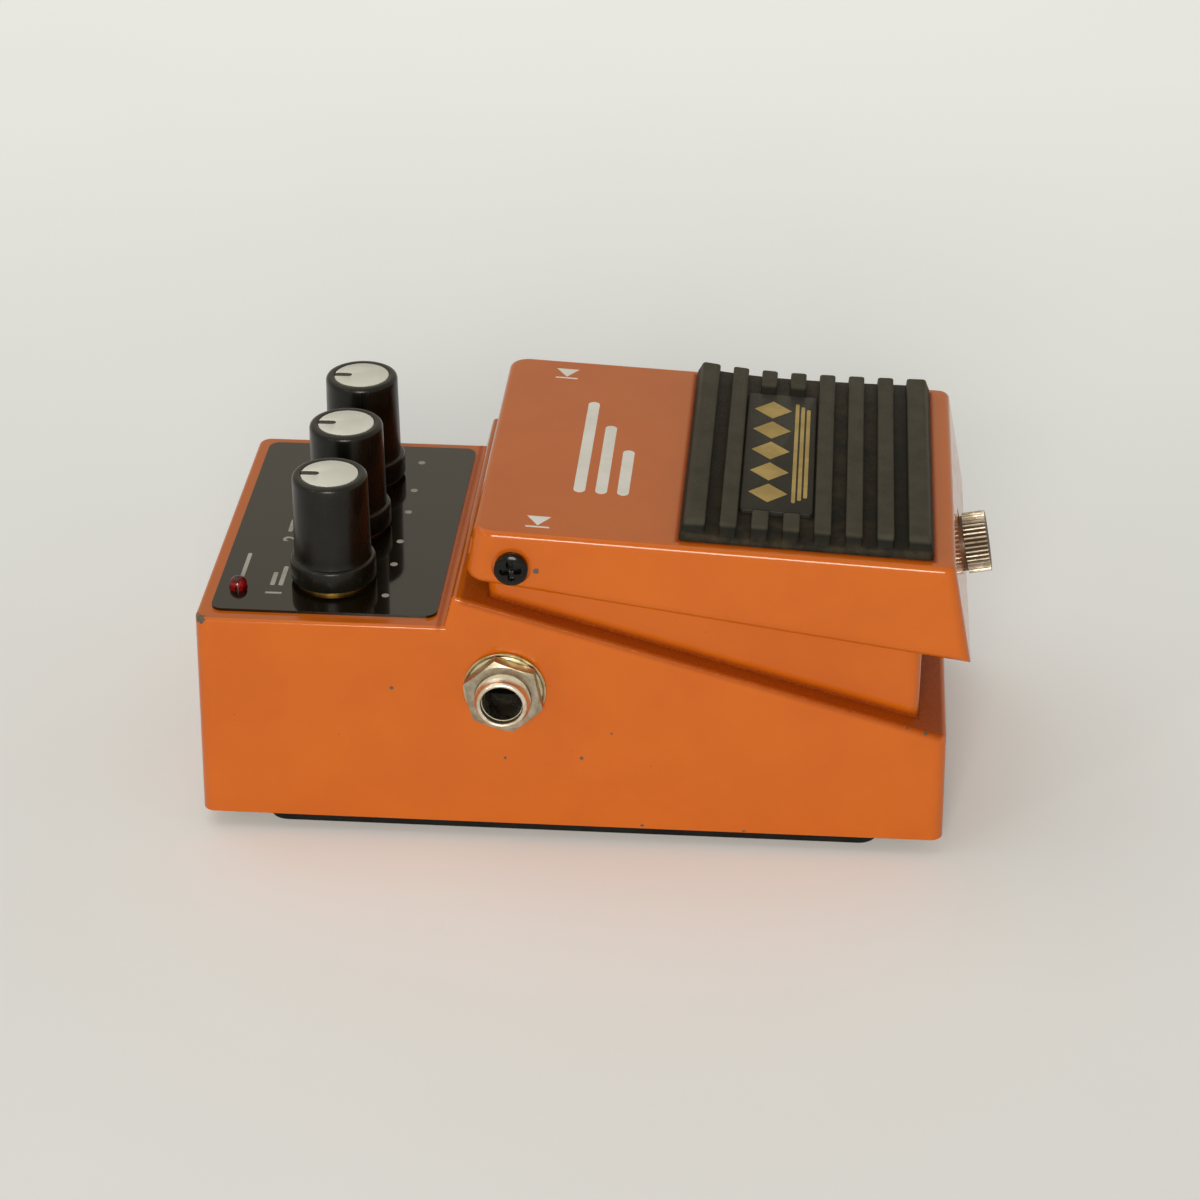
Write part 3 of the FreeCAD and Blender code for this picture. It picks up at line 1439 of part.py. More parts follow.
piece(cut(snap_shell, *snap_holes), "battery_snap")
foam = block(battery_x, battery_y, bay_floor, battery_length - 2, battery_width - 2, S.foam_thickness)
piece(foam, "battery_foam")

neck_length = S.case_wall + S.hole_fit * 2
grommet = body("lead_grommet", lead_x, bay_back_y + S.case_wall / 2, lead_z, ALONG_Y)
lip_half = neck_length / 2 + S.grommet_lip
grommet_shape = outline(
    sketch(grommet, "XZ_Plane"),
    (S.grommet_bore, -lip_half),
    (S.grommet_radius, -lip_half),
    (S.grommet_radius, -neck_length / 2),
    (grommet_neck, -neck_length / 2),
    (grommet_neck, neck_length / 2),
    (S.grommet_radius, neck_length / 2),
    (S.grommet_radius, lip_half),
    (S.grommet_bore, lip_half),
)
revolve(grommet, grommet_shape)


def lead(points, radius):
    """A round lead along straight runs joined by the largest tangent arcs."""
    edges = []
    last = points[0]
    for before, corner, after in zip(points, points[1:], points[2:]):
        shorter = min(before.distanceToPoint(corner), corner.distanceToPoint(after))
        back = (before - corner).normalize()
        ahead = (after - corner).normalize()
        trim = shorter * 0.45
        start = corner + back * trim
        end = corner + ahead * trim
        edges.append(Part.LineSegment(last, start).toShape())
        edges.append(arc_between(start, corner, end))
        print("lead bend radius %.1f" % edges[-1].Curve.Radius)
        last = end
    edges.append(Part.LineSegment(last, points[-1]).toShape())
    return pipe(edges, radius)


# The leads' way to the board: shares of their way in's x and z at named places along the case
snap_back_y = battery_y + battery_width / 2 - 1
board_end_y = board_front_y * 1.2
lead_way = [
    (0.93, shelf_back_y, 0.745),
    (0.886, jack_y, 0.69),
    (0.84, ridge_foot_y, 0.71),
    (0.82, board_end_y, 0.82),
]
lead_solids = []
for side in (-1, 1):
    shift = side * S.lead_spread.value / 2
    route = [
        Vector(lead_x.value, snap_back_y.value, lead_z.value + shift),
        Vector(lead_x.value, mechanism_y.value * 1.14, lead_z.value + shift),
    ]
    for x_share, y, z_share in lead_way:
        route.append(Vector(lead_x.value * x_share + shift, y.value, lead_z.value * z_share))
    route.append(Vector(route[-1].x, board_end_y.value, board_foot.value))
    lead_solids.append(lead(route, S.lead_radius.value))
leads = doc.addObject("Part::Feature", "battery_leads")
leads.Shape = Part.makeCompound(lead_solids)
piece(leads, "battery_leads")

# Every object has to be sound before anything is written
doc.recompute()
for thing in doc.Objects:
    if "Invalid" in thing.State or "Error" in thing.State:
        raise RuntimeError("%s (%s) is %s" % (thing.Name, thing.Label, thing.State))
for thing in pieces:
    if thing.Shape.isNull() or not thing.Shape.isValid() or not thing.Shape.Solids:
        raise RuntimeError(thing.Label + " has no sound solid")
os.makedirs("parts", exist_ok=True)
for thing in pieces:
    thing.Shape.exportStep("parts/%s.step" % thing.Label)
print(len(pieces), "pieces written")
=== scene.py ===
"""A treadle-type delay pedal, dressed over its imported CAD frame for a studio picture."""

import logging
import math
from dataclasses import dataclass, replace
from enum import Enum
from functools import lru_cache
from typing import Callable, Optional, Sequence, Union

import bmesh
import bpy
from mathutils import Matrix, Vector


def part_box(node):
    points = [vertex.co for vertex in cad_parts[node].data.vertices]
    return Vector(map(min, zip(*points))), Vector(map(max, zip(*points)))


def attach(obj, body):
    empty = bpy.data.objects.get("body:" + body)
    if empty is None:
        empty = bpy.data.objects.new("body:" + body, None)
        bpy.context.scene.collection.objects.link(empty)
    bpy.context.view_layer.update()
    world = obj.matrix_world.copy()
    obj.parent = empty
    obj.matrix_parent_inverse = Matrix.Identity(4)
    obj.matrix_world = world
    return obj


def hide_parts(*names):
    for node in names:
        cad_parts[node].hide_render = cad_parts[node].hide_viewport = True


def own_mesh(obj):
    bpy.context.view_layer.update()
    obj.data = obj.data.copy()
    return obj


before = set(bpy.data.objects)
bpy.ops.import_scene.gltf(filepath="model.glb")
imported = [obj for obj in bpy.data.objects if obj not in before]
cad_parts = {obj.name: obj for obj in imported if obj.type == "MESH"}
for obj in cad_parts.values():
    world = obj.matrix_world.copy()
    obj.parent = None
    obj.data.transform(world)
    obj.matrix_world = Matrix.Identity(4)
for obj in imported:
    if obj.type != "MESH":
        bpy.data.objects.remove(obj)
log = logging.getLogger("pedal")

MM = 0.001
PHOTO_SIZE = 1200
WELD = 1e-4
CONTROLS = ("time", "repeat", "level")
# Where a noise spends most of its values, and the part of it that sorts two tones
NOISE_SPAN = (0.3, 0.7)
MOTTLE_SPAN = (0.35, 0.65)
NOISE_ROUGHNESS = 0.6
# A chip's ragged push, its core and its rim, in shares of its radius
CHIP_PUSH, CHIP_CORE, CHIP_RIM = 1.6, 1.65, 1.85
# A Mix node's colour sockets, which share their names with its other ones
MIX_FIRST, MIX_SECOND, MIX_RESULT = 6, 7, 2

Colour = tuple[float, float, float, float]
Point = tuple[float, float, float]
Pair = tuple[float, float]
Pairs = tuple[Pair, ...]
Ring = list[Vector]
Socket = bpy.types.NodeSocket
Feed = Union[Socket, float, Sequence[float]]


class Body(str, Enum):
    """The CAD bodies on which the new pieces ride."""

    CASE = "case"
    TREADLE = "treadle"
    SCREW = "thumb_screw"
    TIME = "time_control"
    REPEAT = "repeat_control"
    LEVEL = "level_control"


class Axis(str, Enum):
    """The axes of a pattern's seat."""

    X = "X"
    Y = "Y"
    Z = "Z"


class Operation(str, Enum):
    """The sums that a Math node works out."""

    ADD = "ADD"
    SUBTRACT = "SUBTRACT"
    MULTIPLY = "MULTIPLY"
    MAXIMUM = "MAXIMUM"
    ABSOLUTE = "ABSOLUTE"


class Blend(str, Enum):
    """How a Mix node lays one colour over another."""

    MIX = "MIX"
    MULTIPLY = "MULTIPLY"


class Cells(str, Enum):
    """What a Voronoi node measures the distance to."""

    POINTS = "F1"
    WALLS = "DISTANCE_TO_EDGE"


class Ray(str, Enum):
    """The kinds of ray for which the floor and the world have a tone of their own."""

    CAMERA = "Is Camera Ray"
    GLOSSY = "Is Glossy Ray"


def tone(red: int, green: int, blue: int) -> Colour:
    """Turn a screen colour into a linear one.

    Args:
        red, green, blue: levels from 0 to 255.
    Returns:
        The linear colour with full alpha.
    """
    def linear(level: int) -> float:
        """Linear value of one level."""
        share = level / 255
        return share / 12.92 if share <= 0.04045 else ((share + 0.055) / 1.055) ** 2.4

    return linear(red), linear(green), linear(blue), 1.0


class Look:
    """Builds one node material from the object's own coordinates, in millimetres."""

    def __init__(self, name: str) -> None:
        """Start a material with a bare shader.

        Args:
            name: the material's name.
        """
        self.material = bpy.data.materials.new(name)
        self.material.use_nodes = True
        self.tree = self.material.node_tree
        self.tree.nodes.clear()
        self.shader = self.add("ShaderNodeBsdfPrincipled")
        sink = self.add("ShaderNodeOutputMaterial")
        self.tree.links.new(self.shader.outputs["BSDF"], sink.inputs["Surface"])
        self.place = self.placed()
        self.layer: Optional[Socket] = None

    def add(self, kind: str, **settings: object) -> bpy.types.Node:
        """Add a node.

        Args:
            kind: the node's type name.
            settings: properties to set on it.
        Returns:
            The node.
        """
        node = self.tree.nodes.new(kind)
        for name, value in settings.items():
            setattr(node, name, value)
        return node

    def feed(self, socket: Socket, value: Feed) -> None:
        """Link a socket, or set its constant.

        Args:
            socket: the input.
            value: an output socket or a constant.
        """
        if isinstance(value, Socket):
            self.tree.links.new(value, socket)
        else:
            socket.default_value = value

    def set(self, **values: Feed) -> None:
        """Feed the shader's inputs, which are named with underscores for spaces."""
        for name, value in values.items():
            self.feed(self.shader.inputs[name.replace("_", " ")], value)

    def placed(self, origin: Point = (0, 0, 0), turn: Point = (0, 0, 0), stretch: Point = (1, 1, 1)) -> Socket:
        """Object coordinates in millimetres, seen from another seat.

        Args:
            origin: the seat's place in millimetres.
            turn: its turn in radians.
            stretch: factors on its axes.
        Returns:
            The vector socket.
        """
        coords = self.add("ShaderNodeTexCoord")
        seat = self.add("ShaderNodeMapping", vector_type="TEXTURE")
        self.feed(seat.inputs["Vector"], coords.outputs["Object"])
        self.feed(seat.inputs["Location"], [c * MM for c in origin])
        self.feed(seat.inputs["Rotation"], turn)
        self.feed(seat.inputs["Scale"], [MM / s for s in stretch])
        return seat.outputs["Vector"]

    def noise(self, scale: float, detail: float = 3.0, vector: Optional[Feed] = None, warp: float = 0.0) -> Socket:
        """Soft noise.

        Args:
            scale: features a millimetre.
            detail: octaves.
            vector: where it is read, or None for the object's own place.
            warp: distortion.
        Returns:
            The value socket.
        """
        node = self.add("ShaderNodeTexNoise")
        self.feed(node.inputs["Vector"], self.place if vector is None else vector)
        self.feed(node.inputs["Scale"], scale)
        self.feed(node.inputs["Detail"], detail)
        self.feed(node.inputs["Roughness"], NOISE_ROUGHNESS)
        self.feed(node.inputs["Distortion"], warp)
        return node.outputs[0]

    def cells(self, scale: float, vector: Optional[Feed] = None, feature: Cells = Cells.POINTS) -> Socket:
        """Distance to scattered points or cell walls.

        Args:
            scale: cells a millimetre.
            vector: where it is read.
            feature: what is measured.
        Returns:
            The value socket.
        """
        node = self.add("ShaderNodeTexVoronoi", feature=feature.value)
        self.feed(node.inputs["Vector"], self.place if vector is None else vector)
        self.feed(node.inputs["Scale"], scale)
        return node.outputs["Distance"]

    def span(self, value: Feed, low: float, high: float, first: Feed = 0.0, last: Feed = 1.0) -> Socket:
        """A smooth step.

        Args:
            value: what is read.
            low, high: where the step starts and ends.
            first, last: its values there.
        Returns:
            The value socket.
        """
        node = self.add("ShaderNodeMapRange", interpolation_type="SMOOTHSTEP")
        names = ("Value", "From Min", "From Max", "To Min", "To Max")
        for name, item in zip(names, (value, low, high, first, last)):
            self.feed(node.inputs[name], item)
        return node.outputs["Result"]

    def spread(self, noise: Feed, first: float = 0.0, last: float = 1.0) -> Socket:
        """Spread a noise between two values."""
        return self.span(noise, *NOISE_SPAN, first, last)

    def sum(self, first: Feed, second: Feed, operation: Operation = Operation.ADD) -> Socket:
        """Arithmetic on two values.

        Args:
            first, second: the values.
            operation: the sum's kind.
        Returns:
            The value socket.
        """
        node = self.add("ShaderNodeMath", operation=operation.value)
        self.feed(node.inputs[0], first)
        self.feed(node.inputs[1], second)
        return node.outputs[0]

    def times(self, first: Feed, second: Feed) -> Socket:
        """The product of two values."""
        return self.sum(first, second, Operation.MULTIPLY)

    def larger(self, first: Feed, second: Feed) -> Socket:
        """The larger of two values."""
        return self.sum(first, second, Operation.MAXIMUM)

    def size(self, value: Feed) -> Socket:
        """A value without its sign."""
        return self.sum(value, 0.0, Operation.ABSOLUTE)

    def mix(self, share: Feed, first: Feed, second: Feed, mode: Blend = Blend.MIX) -> Socket:
        """Mix two colours.

        Args:
            share: how much of the second.
            first, second: the colours.
            mode: the blend mode.
        Returns:
            The colour socket.
        """
        node = self.add("ShaderNodeMix", data_type="RGBA", blend_type=mode.value)
        self.feed(node.inputs[0], share)
        self.feed(node.inputs[MIX_FIRST], first)
        self.feed(node.inputs[MIX_SECOND], second)
        return node.outputs[MIX_RESULT]

    def height(self, vector: Feed, axis: Axis = Axis.Z) -> Socket:
        """One coordinate of a vector.

        Args:
            vector: the vector socket.
            axis: which one.
        Returns:
            The value socket.
        """
        node = self.add("ShaderNodeSeparateXYZ")
        self.feed(node.inputs[0], vector)
        return node.outputs[axis.value]

    def radius(self, vector: Feed) -> Socket:
        """Distance from the Z axis of a seat.

        Args:
            vector: the vector socket.
        Returns:
            The value socket.
        """
        flat = self.add("ShaderNodeVectorMath", operation="MULTIPLY")
        self.feed(flat.inputs[0], vector)
        self.feed(flat.inputs[1], (1, 1, 0))
        length = self.add("ShaderNodeVectorMath", operation="LENGTH")
        self.feed(length.inputs[0], flat.outputs[0])
        return length.outputs["Value"]

    def near(self, centre: Point, radius: float, ragged: Feed) -> Socket:
        """A ragged spot.

        Args:
            centre: its middle in millimetres.
            radius: its size.
            ragged: noise that moves its edge.
        Returns:
            A value socket, 1 inside the spot and 0 outside.
        """
        node = self.add("ShaderNodeVectorMath", operation="DISTANCE")
        self.feed(node.inputs[0], self.place)
        self.feed(node.inputs[1], centre)
        pushed = self.sum(node.outputs["Value"], self.times(ragged, radius * CHIP_PUSH))
        return self.span(pushed, radius * CHIP_RIM, radius * CHIP_CORE)

    def outside(self, vector: Feed, half_x: float, half_y: float) -> Socket:
        """How far a place lies outside a rectangle of its seat.

        Args:
            vector: the place.
            half_x, half_y: the rectangle's half sizes.
        Returns:
            The value socket, negative inside.
        """
        across = self.sum(self.size(self.height(vector, Axis.X)), half_x, Operation.SUBTRACT)
        lengthwise = self.sum(self.size(self.height(vector, Axis.Y)), half_y, Operation.SUBTRACT)
        return self.larger(across, lengthwise)

    def relief(self, height: Feed, depth: float) -> None:
        """Add a layer of bump to the shader's normal.

        Args:
            height: the value socket.
            depth: its height in millimetres.
        """
        node = self.add("ShaderNodeBump")
        self.feed(node.inputs["Distance"], depth * MM)
        self.feed(node.inputs["Height"], height)
        if self.layer:
            self.feed(node.inputs["Normal"], self.layer)
        self.layer = node.outputs["Normal"]
        self.set(Normal=self.layer)


@dataclass(frozen=True)
class Finish:
    """Two mottled tones with a roughness span and a fine grain."""

    slot: str
    light: Colour
    dark: Colour
    rough: Pair = (0.4, 0.55)
    metallic: float = 0.0
    mottle: float = 0.15
    grain: float = 3.0
    depth: float = 0.008
    stretch: Point = (1, 1, 1)
    coat: float = 0.0
    gloss: float = 0.5

    def dress(self, look: Look) -> None:
        """Build the surface.

        Args:
            look: the material being built.
        """
        patch = look.noise(self.mottle, detail=4)
        fine = look.noise(self.grain, detail=4, vector=look.placed(stretch=self.stretch))
        look.set(
            Base_Color=look.mix(look.span(patch, *MOTTLE_SPAN), self.dark, self.light),
            Roughness=look.spread(fine, *self.rough),
            Metallic=self.metallic,
            Coat_Weight=self.coat,
            Specular_IOR_Level=self.gloss,
        )
        look.relief(fine, self.depth)

    @lru_cache(maxsize=None)
    def material(self) -> bpy.types.Material:
        """Build the finish's one material, the first time that it is asked for.

        Returns:
            The material.
        """
        look = Look(type(self).__name__.lower() + "_" + self.slot)
        self.dress(look)
        return look.material


@dataclass(frozen=True)
class Seam:
    """A rectangle on a painted face along whose outline dirt has gathered and painted shade is laid."""

    origin: Point
    tilt: float
    half_x: float
    half_y: float
    reach: float
    strength: float = 0.7
    core: float = 0.0


@dataclass(frozen=True)
class Enamel(Finish):
    """Stoved paint with a faint orange peel, seams darkened by dirt and painted shade, and chips down to the casting.
    """

    chips: tuple[tuple[Point, float], ...] = ()
    seams: tuple[Seam, ...] = ()
    bare: Colour = tone(104, 98, 84)
    bare_deep: Colour = tone(60, 50, 42)
    # The tone of dirt, also used to lay painted shade along the seams
    grime: Colour = tone(112, 37, 14)
    scuffed: Colour = tone(236, 170, 120)
    ragged: float = 2.2
    tone_patch: float = 0.06
    gloss_patch: float = 0.35
    peel: float = 0.8
    specks: float = 0.11
    speck_span: Pair = (0.016, 0.01)
    speck_stretch: Point = (1, 1, 1.3)
    seam_depth: Pair = (1.5, 0.2)
    seam_patches: tuple[float, ...] = (0.2, 0.6, 0.6, 1.0)
    scuffs: float = 0.5
    scuff_turn: Point = (0.4, 0.2, 0.9)
    scuff_stretch: Point = (0.12, 2.4, 1)
    scuff_span: Pair = (0.68, 0.76)
    scuff_share: float = 0.08
    dull_rough: float = 0.4
    dull_gloss: float = 0.06
    dull_from: float = 0.6
    chip_depth: float = 0.05

    def chipped(self, look: Look, ragged: Feed) -> Feed:
        """Where the paint is chipped.

        Args:
            look: the material being built.
            ragged: noise for the chips' edges.
        Returns:
            A value, 1 in a chip and 0 elsewhere.
        """
        chipped: Feed = 0.0
        for centre, radius in self.chips:
            chipped = look.larger(chipped, look.near(centre, radius, ragged))
        return chipped

    def soiled(self, look: Look, ragged: Feed) -> Feed:
        """Where specks of dirt lie, and the seams' dirt and painted shade.

        Args:
            look: the material being built.
            ragged: noise that breaks the dirt and the painted shade up.
        Returns:
            A value, 0 on clean, unshaded paint.
        """
        soiled = look.span(look.cells(self.specks, look.placed(stretch=self.speck_stretch)), *self.speck_span)
        for seam in self.seams:
            seat = look.placed(seam.origin, (seam.tilt, 0, 0))
            away = look.size(look.outside(seat, seam.half_x, seam.half_y))
            beside = look.span(away, seam.reach, seam.core, 0.0, seam.strength)
            level_with = look.span(look.size(look.height(seat)), *self.seam_depth)
            patchy = look.times(look.span(ragged, *self.seam_patches), level_with)
            soiled = look.larger(soiled, look.times(beside, patchy))
        return soiled

    def dress(self, look: Look) -> None:
        """Build the paint.

        Args:
            look: the material being built.
        """
        ragged = look.noise(self.ragged, detail=4)
        chipped, soiled = self.chipped(look, ragged), self.soiled(look, ragged)
        streaks = look.placed(turn=self.scuff_turn, stretch=self.scuff_stretch)
        scuffs = look.span(look.noise(self.scuffs, detail=6, vector=streaks), *self.scuff_span)
        body = look.mix(look.spread(look.noise(self.tone_patch)), self.dark, self.light)
        # Specks of dirt, and dirt with painted shade along the seams, darken the paint
        grimed_and_shaded = look.mix(soiled, body, self.grime)
        worn = look.mix(look.times(scuffs, self.scuff_share), grimed_and_shaded, self.scuffed)
        dull = look.times(look.larger(chipped, soiled), self.dull_rough)
        look.set(
            Base_Color=look.mix(chipped, worn, look.mix(ragged, self.bare, self.bare_deep)),
            Roughness=look.sum(look.spread(look.noise(self.gloss_patch, detail=5), *self.rough), dull),
            Coat_Weight=self.coat,
            Specular_IOR_Level=self.gloss,
        )
        # Linked after the plain value, which the socket keeps for programs that drop the link
        look.set(Specular_IOR_Level=look.span(soiled, 0.0, self.dull_from, self.gloss, self.dull_gloss))
        look.relief(look.noise(self.peel, detail=2), self.depth)
        look.relief(look.sum(1.0, chipped, Operation.SUBTRACT), self.chip_depth)


@dataclass(frozen=True)
class Gloss(Finish):
    """A glossy black sheet with lint, smears and hair scratches."""

    smears: float = 0.12
    smear_warp: float = 1.5
    smear_span: Pair = (0.35, 0.75)
    lint: float = 0.32
    lint_span: Pair = (0.03, 0.018)
    hairs: float = 1.2
    hair_turn: Point = (0, 0, 0.6)
    hair_stretch: Point = (0.05, 4, 1)
    hair_span: Pair = (0.7, 0.74)
    hair_share: float = 0.25
    mark_tone: float = 0.5
    mark_rough: float = 0.3

    def dress(self, look: Look) -> None:
        """Build the sheet.

        Args:
            look: the material being built.
        """
        smear = look.noise(self.smears, detail=5, warp=self.smear_warp)
        lint = look.span(look.cells(self.lint), *self.lint_span)
        lines = look.placed(turn=self.hair_turn, stretch=self.hair_stretch)
        hair = look.span(look.noise(self.hairs, vector=lines), *self.hair_span)
        marks = look.larger(lint, look.times(hair, self.hair_share))
        smeared = look.span(smear, *self.smear_span, *self.rough)
        look.set(
            Base_Color=look.mix(look.times(marks, self.mark_tone), self.dark, self.light),
            Roughness=look.sum(smeared, look.times(marks, self.mark_rough)),
            Coat_Weight=self.coat,
        )
        look.relief(smear, self.depth)


@dataclass(frozen=True)
class TreadRubber(Finish):
    """Moulded rubber, dusty brown in its grooves, and pale on its ribs' tops from rubbing with a painted sheen."""

    origin: Point = (0, 0, 0)
    tilt: float = 0.0
    floor: float = 0.8
    top: float = 2.9
    dust: Colour = tone(62, 52, 34)
    dust_rise: float = 1.2
    dust_patch: float = 0.3
    dust_span: Pair = (0.35, 0.7)
    dust_share: float = 0.75
    # Where the rib tops turn paler: rubbed wear with a painted sheen
    rub_drop: float = 0.6
    rub_patch: float = 0.2
    rub_patches: tuple[float, ...] = (0.25, 0.75, 0.65, 1.0)
    fluff: Colour = tone(150, 140, 115)
    fluff_cells: float = 0.45
    fluff_span: Pair = (0.05, 0.03)
    fluff_share: float = 0.35
    pores: float = 3.5
    swell: float = 0.5

    def dress(self, look: Look) -> None:
        """Build the rubber.

        Args:
            look: the material being built.
        """
        height = look.height(look.placed(self.origin, (self.tilt, 0, 0)))
        low = look.span(height, self.floor + self.dust_rise, self.floor)
        dirt = look.times(low, look.span(look.noise(self.dust_patch, detail=5), *self.dust_span))
        # Rib tops paler from rubbing, with a painted sheen in the same colour
        high = look.span(height, self.top - self.rub_drop, self.top)
        rub_and_sheen_mask = look.times(high, look.span(look.noise(self.rub_patch, detail=5), *self.rub_patches))
        fluff = look.span(look.cells(self.fluff_cells), *self.fluff_span)
        body = look.mix(rub_and_sheen_mask, self.dark, self.light)
        dusty = look.mix(look.times(dirt, self.dust_share), body, self.dust)
        fine = look.noise(self.pores, detail=5)
        look.set(
            Base_Color=look.mix(look.times(fluff, self.fluff_share), dusty, self.fluff),
            Roughness=look.spread(fine, *self.rough),
            Specular_IOR_Level=self.gloss,
        )
        look.relief(look.sum(fine, look.noise(self.swell, detail=2)), self.depth)


@dataclass(frozen=True)
class TurnedMetal(Finish):
    """Plated metal with lathe rings round an axis, tarnished in patches."""

    origin: Point = (0, 0, 0)
    turn: Point = (0, math.pi / 2, 0)
    bore: float = 0.0
    bore_edge: float = 0.05
    bore_metallic: float = 0.3
    rings: float = 5.0
    inside: Colour = tone(12, 11, 9)
    tarnish_warp: float = 0.6
    tarnish_span: Pair = (0.42, 0.68)
    tarnish_rough: float = 0.1

    def dress(self, look: Look) -> None:
        """Build the metal.

        Args:
            look: the material being built.
        """
        radius = look.radius(look.placed(self.origin, self.turn))
        ring = look.noise(self.rings, detail=2, vector=radius)
        tarnish = look.span(look.noise(self.mottle, detail=5, warp=self.tarnish_warp), *self.tarnish_span)
        deep, metallic = 0.0, self.metallic
        # Inside the bore radius the colour turns to the inside tone: a bore's dark inside, and on the knurl painted
        # shade in the notches between the teeth
        if self.bore:
            deep = look.span(radius, self.bore + self.bore_edge, self.bore - self.bore_edge)
            metallic = look.span(deep, 0, 1, self.metallic, self.bore_metallic)
        look.set(
            Base_Color=look.mix(deep, look.mix(tarnish, self.light, self.dark), self.inside),
            Metallic=metallic,
            Roughness=look.sum(look.spread(ring, *self.rough), look.times(tarnish, self.tarnish_rough)),
        )
        look.relief(ring, self.depth)


@dataclass(frozen=True)
class Lens(Finish):
    """Tinted lamp resin with a darker heart."""

    origin: Point = (0, 0, 0)
    facets: float = 0.9
    facet_span: Pair = (0.25, 0.6)
    heart: Pair = (0.2, 1.3)
    clear: float = 0.25
    ripples: float = 1.6

    def dress(self, look: Look) -> None:
        """Build the resin.

        Args:
            look: the material being built.
        """
        off_axis = look.span(look.radius(look.placed(self.origin)), *self.heart)
        facets = look.times(look.span(look.cells(self.facets), *self.facet_span), off_axis)
        look.set(
            Base_Color=look.mix(facets, self.dark, self.light),
            Roughness=look.spread(look.noise(self.facets), *self.rough),
            Transmission_Weight=self.clear,
            Specular_IOR_Level=self.gloss,
        )
        look.relief(look.noise(self.ripples, detail=2), self.depth)


@dataclass(frozen=True)
class Banded(Finish):
    """A printed wrap whose tone changes at one place along an axis."""

    axis: Axis = Axis.X
    edge: float = 0.0
    blur: float = 0.1
    shade: Colour = (0.75, 0.75, 0.75, 1)

    def dress(self, look: Look) -> None:
        """Build the wrap.

        Args:
            look: the material being built.
        """
        past = look.span(look.height(look.place, self.axis), self.edge - self.blur, self.edge + self.blur)
        fine = look.noise(self.grain)
        shade = look.mix(look.noise(self.mottle), self.shade, (1, 1, 1, 1))
        look.set(
            Base_Color=look.mix(1.0, look.mix(past, self.dark, self.light), shade, Blend.MULTIPLY),
            Roughness=look.spread(fine, *self.rough),
            Metallic=self.metallic,
            Coat_Weight=self.coat,
        )
        look.relief(fine, self.depth)


@dataclass(frozen=True)
class Pattern(Finish):
    """Cells with walls of another tone: circuit tracks, or a foam's pores."""

    cell: float = 0.4
    wall: Pair = (0.05, 0.12)
    shade: Colour = (0.7, 0.7, 0.7, 1)

    def dress(self, look: Look) -> None:
        """Build the pattern.

        Args:
            look: the material being built.
        """
        walls = look.span(look.cells(self.cell, feature=Cells.WALLS), self.wall[1], self.wall[0])
        shade = look.mix(look.noise(self.mottle, detail=4), self.shade, (1, 1, 1, 1))
        look.set(
            Base_Color=look.mix(1.0, look.mix(walls, self.light, self.dark), shade, Blend.MULTIPLY),
            Roughness=look.spread(look.noise(self.grain), *self.rough),
            Coat_Weight=self.coat,
        )
        look.relief(walls, self.depth)


@dataclass(frozen=True)
class Section:
    """One level of a lofted slab: a rounded rectangle."""

    z: float
    x: Pair
    y: Pair
    corner: float

    def ring(self, steps: int = 4) -> Ring:
        """The section's outline.

        Args:
            steps: segments in each corner.
        Returns:
            Its points, counter-clockwise.
        """
        (x0, x1), (y0, y1), r = self.x, self.y, self.corner
        middles = ((x1 - r, y1 - r), (x0 + r, y1 - r), (x0 + r, y0 + r), (x1 - r, y0 + r))
        return [
            Vector((cx + r * math.cos(angle), cy + r * math.sin(angle), self.z))
            for quarter, (cx, cy) in enumerate(middles)
            for angle in (math.pi / 2 * (quarter + step / steps) for step in range(steps + 1))
        ]


def turned(radius: float, angle: float, z: float = 0.0) -> Vector:
    """The point at a radius and an angle round the seat's Z axis."""
    return Vector((radius * math.cos(angle), radius * math.sin(angle), z))


def angles(steps: int) -> list[float]:
    """Even steps round a full turn."""
    return [math.tau * k / steps for k in range(steps)]


def shifted(across: float, up: float, steps: Pairs) -> list[Pair]:
    """Profile points that are given as steps from one corner."""
    return [(across + aside, up + rise) for aside, rise in steps]


def clamp(value: float) -> float:
    """A value held between 0 and 1."""
    return min(1.0, max(0.0, value))


def round_like(ring: Ring, radius: float, z: float) -> Ring:
    """A circle at a height, with a point for each point of the ring that it is to join."""
    return [Vector((point.x, point.y, 0)).normalized() * radius + Vector((0, 0, z)) for point in ring]


def level(z: float, half_x: float, half_y: float, corner: float, inset: float = 0.0) -> Section:
    """A section round the middle, of two half sizes and a corner radius that an inset draws in."""
    x, y, least = half_x - inset, half_y - inset, 0.02
    return Section(z, (-x, x), (-y, y), max(corner - inset, least))


def levels(half_x: float, half_y: float, corner: float, rows: Pairs) -> list[Section]:
    """Sections round the middle, one for each row of a height and an inset."""
    return [level(z, half_x, half_y, corner, inset) for z, inset in rows]


